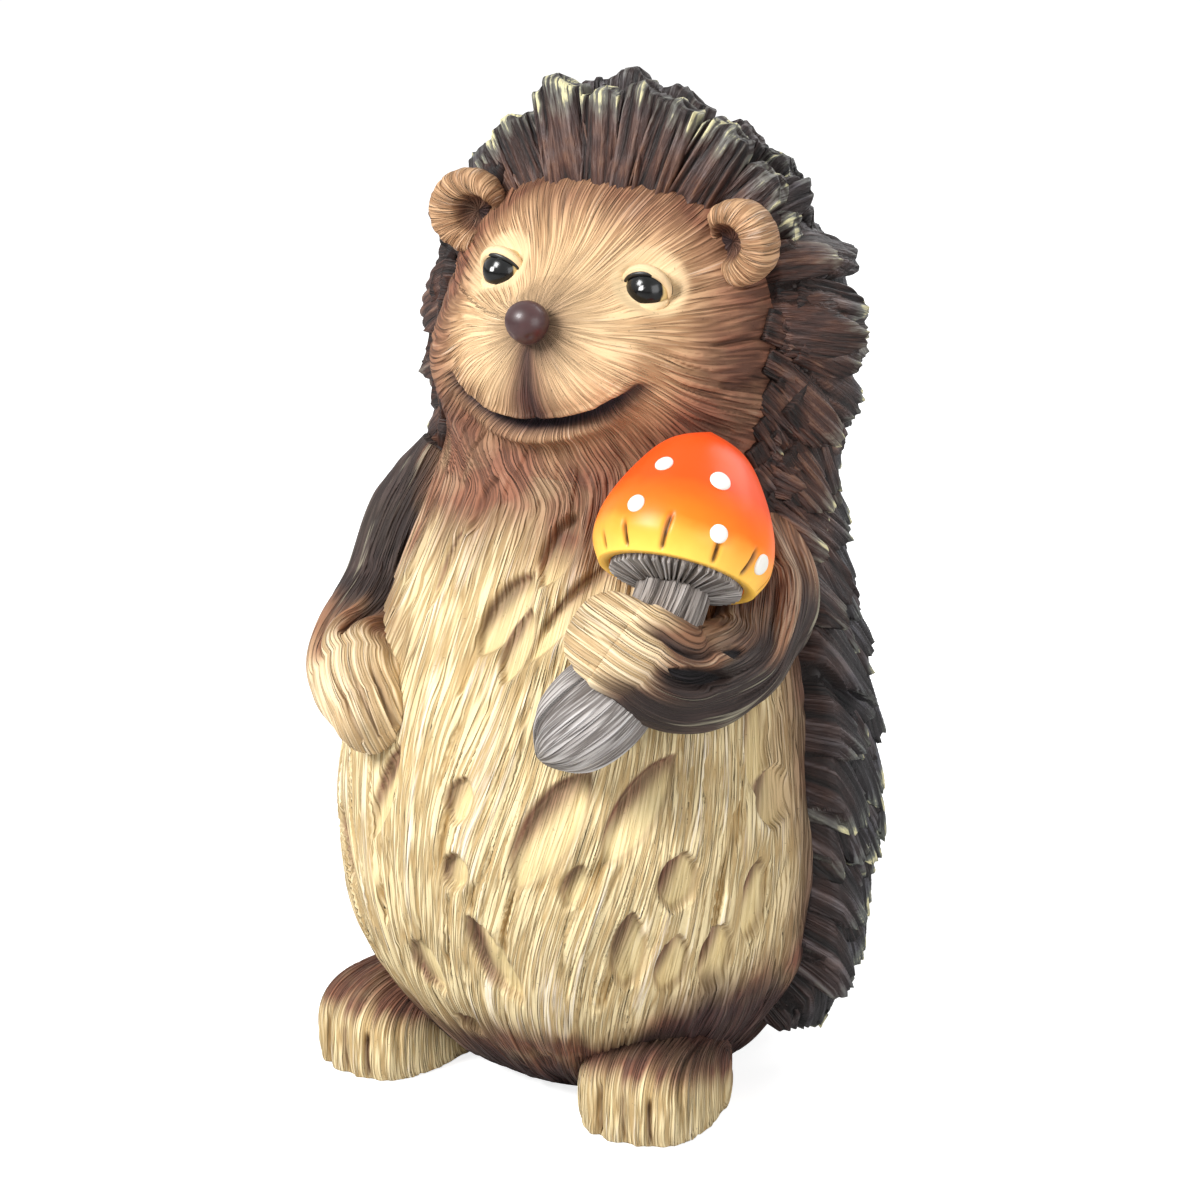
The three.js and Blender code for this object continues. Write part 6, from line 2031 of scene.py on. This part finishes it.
@dataclass
class Studio:
    """White floor and world, three soft boxes and the camera at the photograph's angle."""

    azimuth: float = 28.0
    elevation: float = 18.5
    distance: float = 900.0
    lens: float = 117.0
    sensor: float = 36.0
    aim: Point = (-1.6, -1.9, 109.2)
    boxes: tuple[SoftBox, ...] = (
        SoftBox("key_box", (-420, -760, 780), 380, 17.2),
        SoftBox("fill_box", (820, -420, 330), 600, 4.6),
        SoftBox("back_box", (250, 700, 700), 600, 5.0),
    )
    world_light: float = 0.24
    floor_glow: float = 0.8
    floor_half: float = 6000.0
    floor_drop: float = 0.2

    def camera(self) -> None:
        """Long lens, turned about the figure by azimuth from its front to its left, raised by elevation."""
        a, e = np.radians(self.azimuth), np.radians(self.elevation)
        back = np.array([np.sin(a) * np.cos(e), -np.cos(a) * np.cos(e), np.sin(e)])
        aim = np.array(self.aim) + AXIS
        data = bpy.data.cameras.new("studio_camera")
        data.lens, data.sensor_width = self.lens, self.sensor
        camera = bpy.data.objects.new("studio_camera", data)
        bpy.context.scene.collection.objects.link(camera)
        camera.location = Vector((aim + self.distance * back) * MM)
        camera.rotation_euler = Vector(-back).to_track_quat("-Z", "Y").to_euler()
        bpy.context.scene.camera = camera

    def floor(self) -> None:
        """Wide pale floor: it takes the shadow, and shows white to the camera and to reflections."""
        half, level = self.floor_half * MM, -self.floor_drop * MM
        mesh = bpy.data.meshes.new("floor")
        corners = [(x * half, y * half, level) for x, y in ((-1, -1), (1, -1), (1, 1), (-1, 1))]
        mesh.from_pydata(corners, [], [(0, 1, 2, 3)])
        material = bpy.data.materials.new("floor_paper_white")
        add = new_tree(material)
        seen = add("LightPath", out="Is Camera Ray")
        seen = add("Math", {0: seen, 1: self.floor_glow}, operation="MULTIPLY")
        grain = add("TexNoise", {"Vector": add("TexCoord", out="Object"), "Scale": 900.0})
        tone = add("MapRange", {"Value": grain, "To Min": 0.6, "To Max": 0.62})
        light = add("Emission", {"Color": (1, 1, 1, 1), "Strength": seen})
        both = add("AddShader", {0: add("BsdfDiffuse", {"Color": tone}), 1: light})
        add("OutputMaterial", {"Surface": both})
        mesh.materials.append(material)
        floor = bpy.data.objects.new("floor", mesh)
        bpy.context.scene.collection.objects.link(floor)

    def world(self) -> None:
        """World that lights at a plain level and shows white to the camera, to gloss and through glass."""
        world = bpy.data.worlds.new("studio_world")
        add = new_tree(world)
        rays = [add("LightPath", out=f"Is {kind} Ray") for kind in ("Camera", "Transmission", "Glossy")]
        seen = add("Math", {0: rays[0], 1: rays[1]}, operation="MAXIMUM")
        seen = add("Math", {0: seen, 1: rays[2]}, operation="MAXIMUM")
        strength = add("MapRange", {"Value": seen, "To Min": self.world_light, "To Max": 1.0})
        light = add("Background", {"Color": (1, 1, 1, 1), "Strength": strength})
        add("OutputWorld", {"Surface": light})
        bpy.context.scene.world = world

    def build(self) -> None:
        """Sets the stage, the light and the camera."""
        bpy.context.scene.view_settings.view_transform = "Standard"
        self.camera()
        self.floor()
        self.world()
        for box in self.boxes:
            box.build()


LEFT_HOLES: Rows = ((0.71, -78, 15, 5, 3.5), (0.6, -50, 8, 3, 2.0))


def main() -> None:
    """Builds the studio and every sub-assembly in order."""
    logging.basicConfig(level=logging.INFO, format="%(name)s %(message)s")
    Studio().build()
    Casting(FORM).build()
    Foot("left_foot", (29.5, -33, 7), 4, dusk=0.62).build()
    Foot("right_foot", (-39.5, -31, 7), -12, dusk=0.3).build()
    Nose().build()
    for side in Side:
        Ear(side).build()
        Eye(side).build()
    Arm(Side.LEFT, LEFT_ARM, (-5.5, -0.5, 4.5), -12, LEFT_HOLES, coal_from=0.76, cleft=0.12).build()
    Arm(Side.RIGHT, RIGHT_ARM, (-5.0, -0.6, 3.6), -90, cream_from=0.68, coal_from=0.58).build()
    coat = QuillCoat(FORM)
    coat.build()
    RimLocks(coat).build()
    Crest().build()
    Toadstool().build()
    SolarMount().build()
    dress_nodes()


if __name__ == "__main__":
    main()
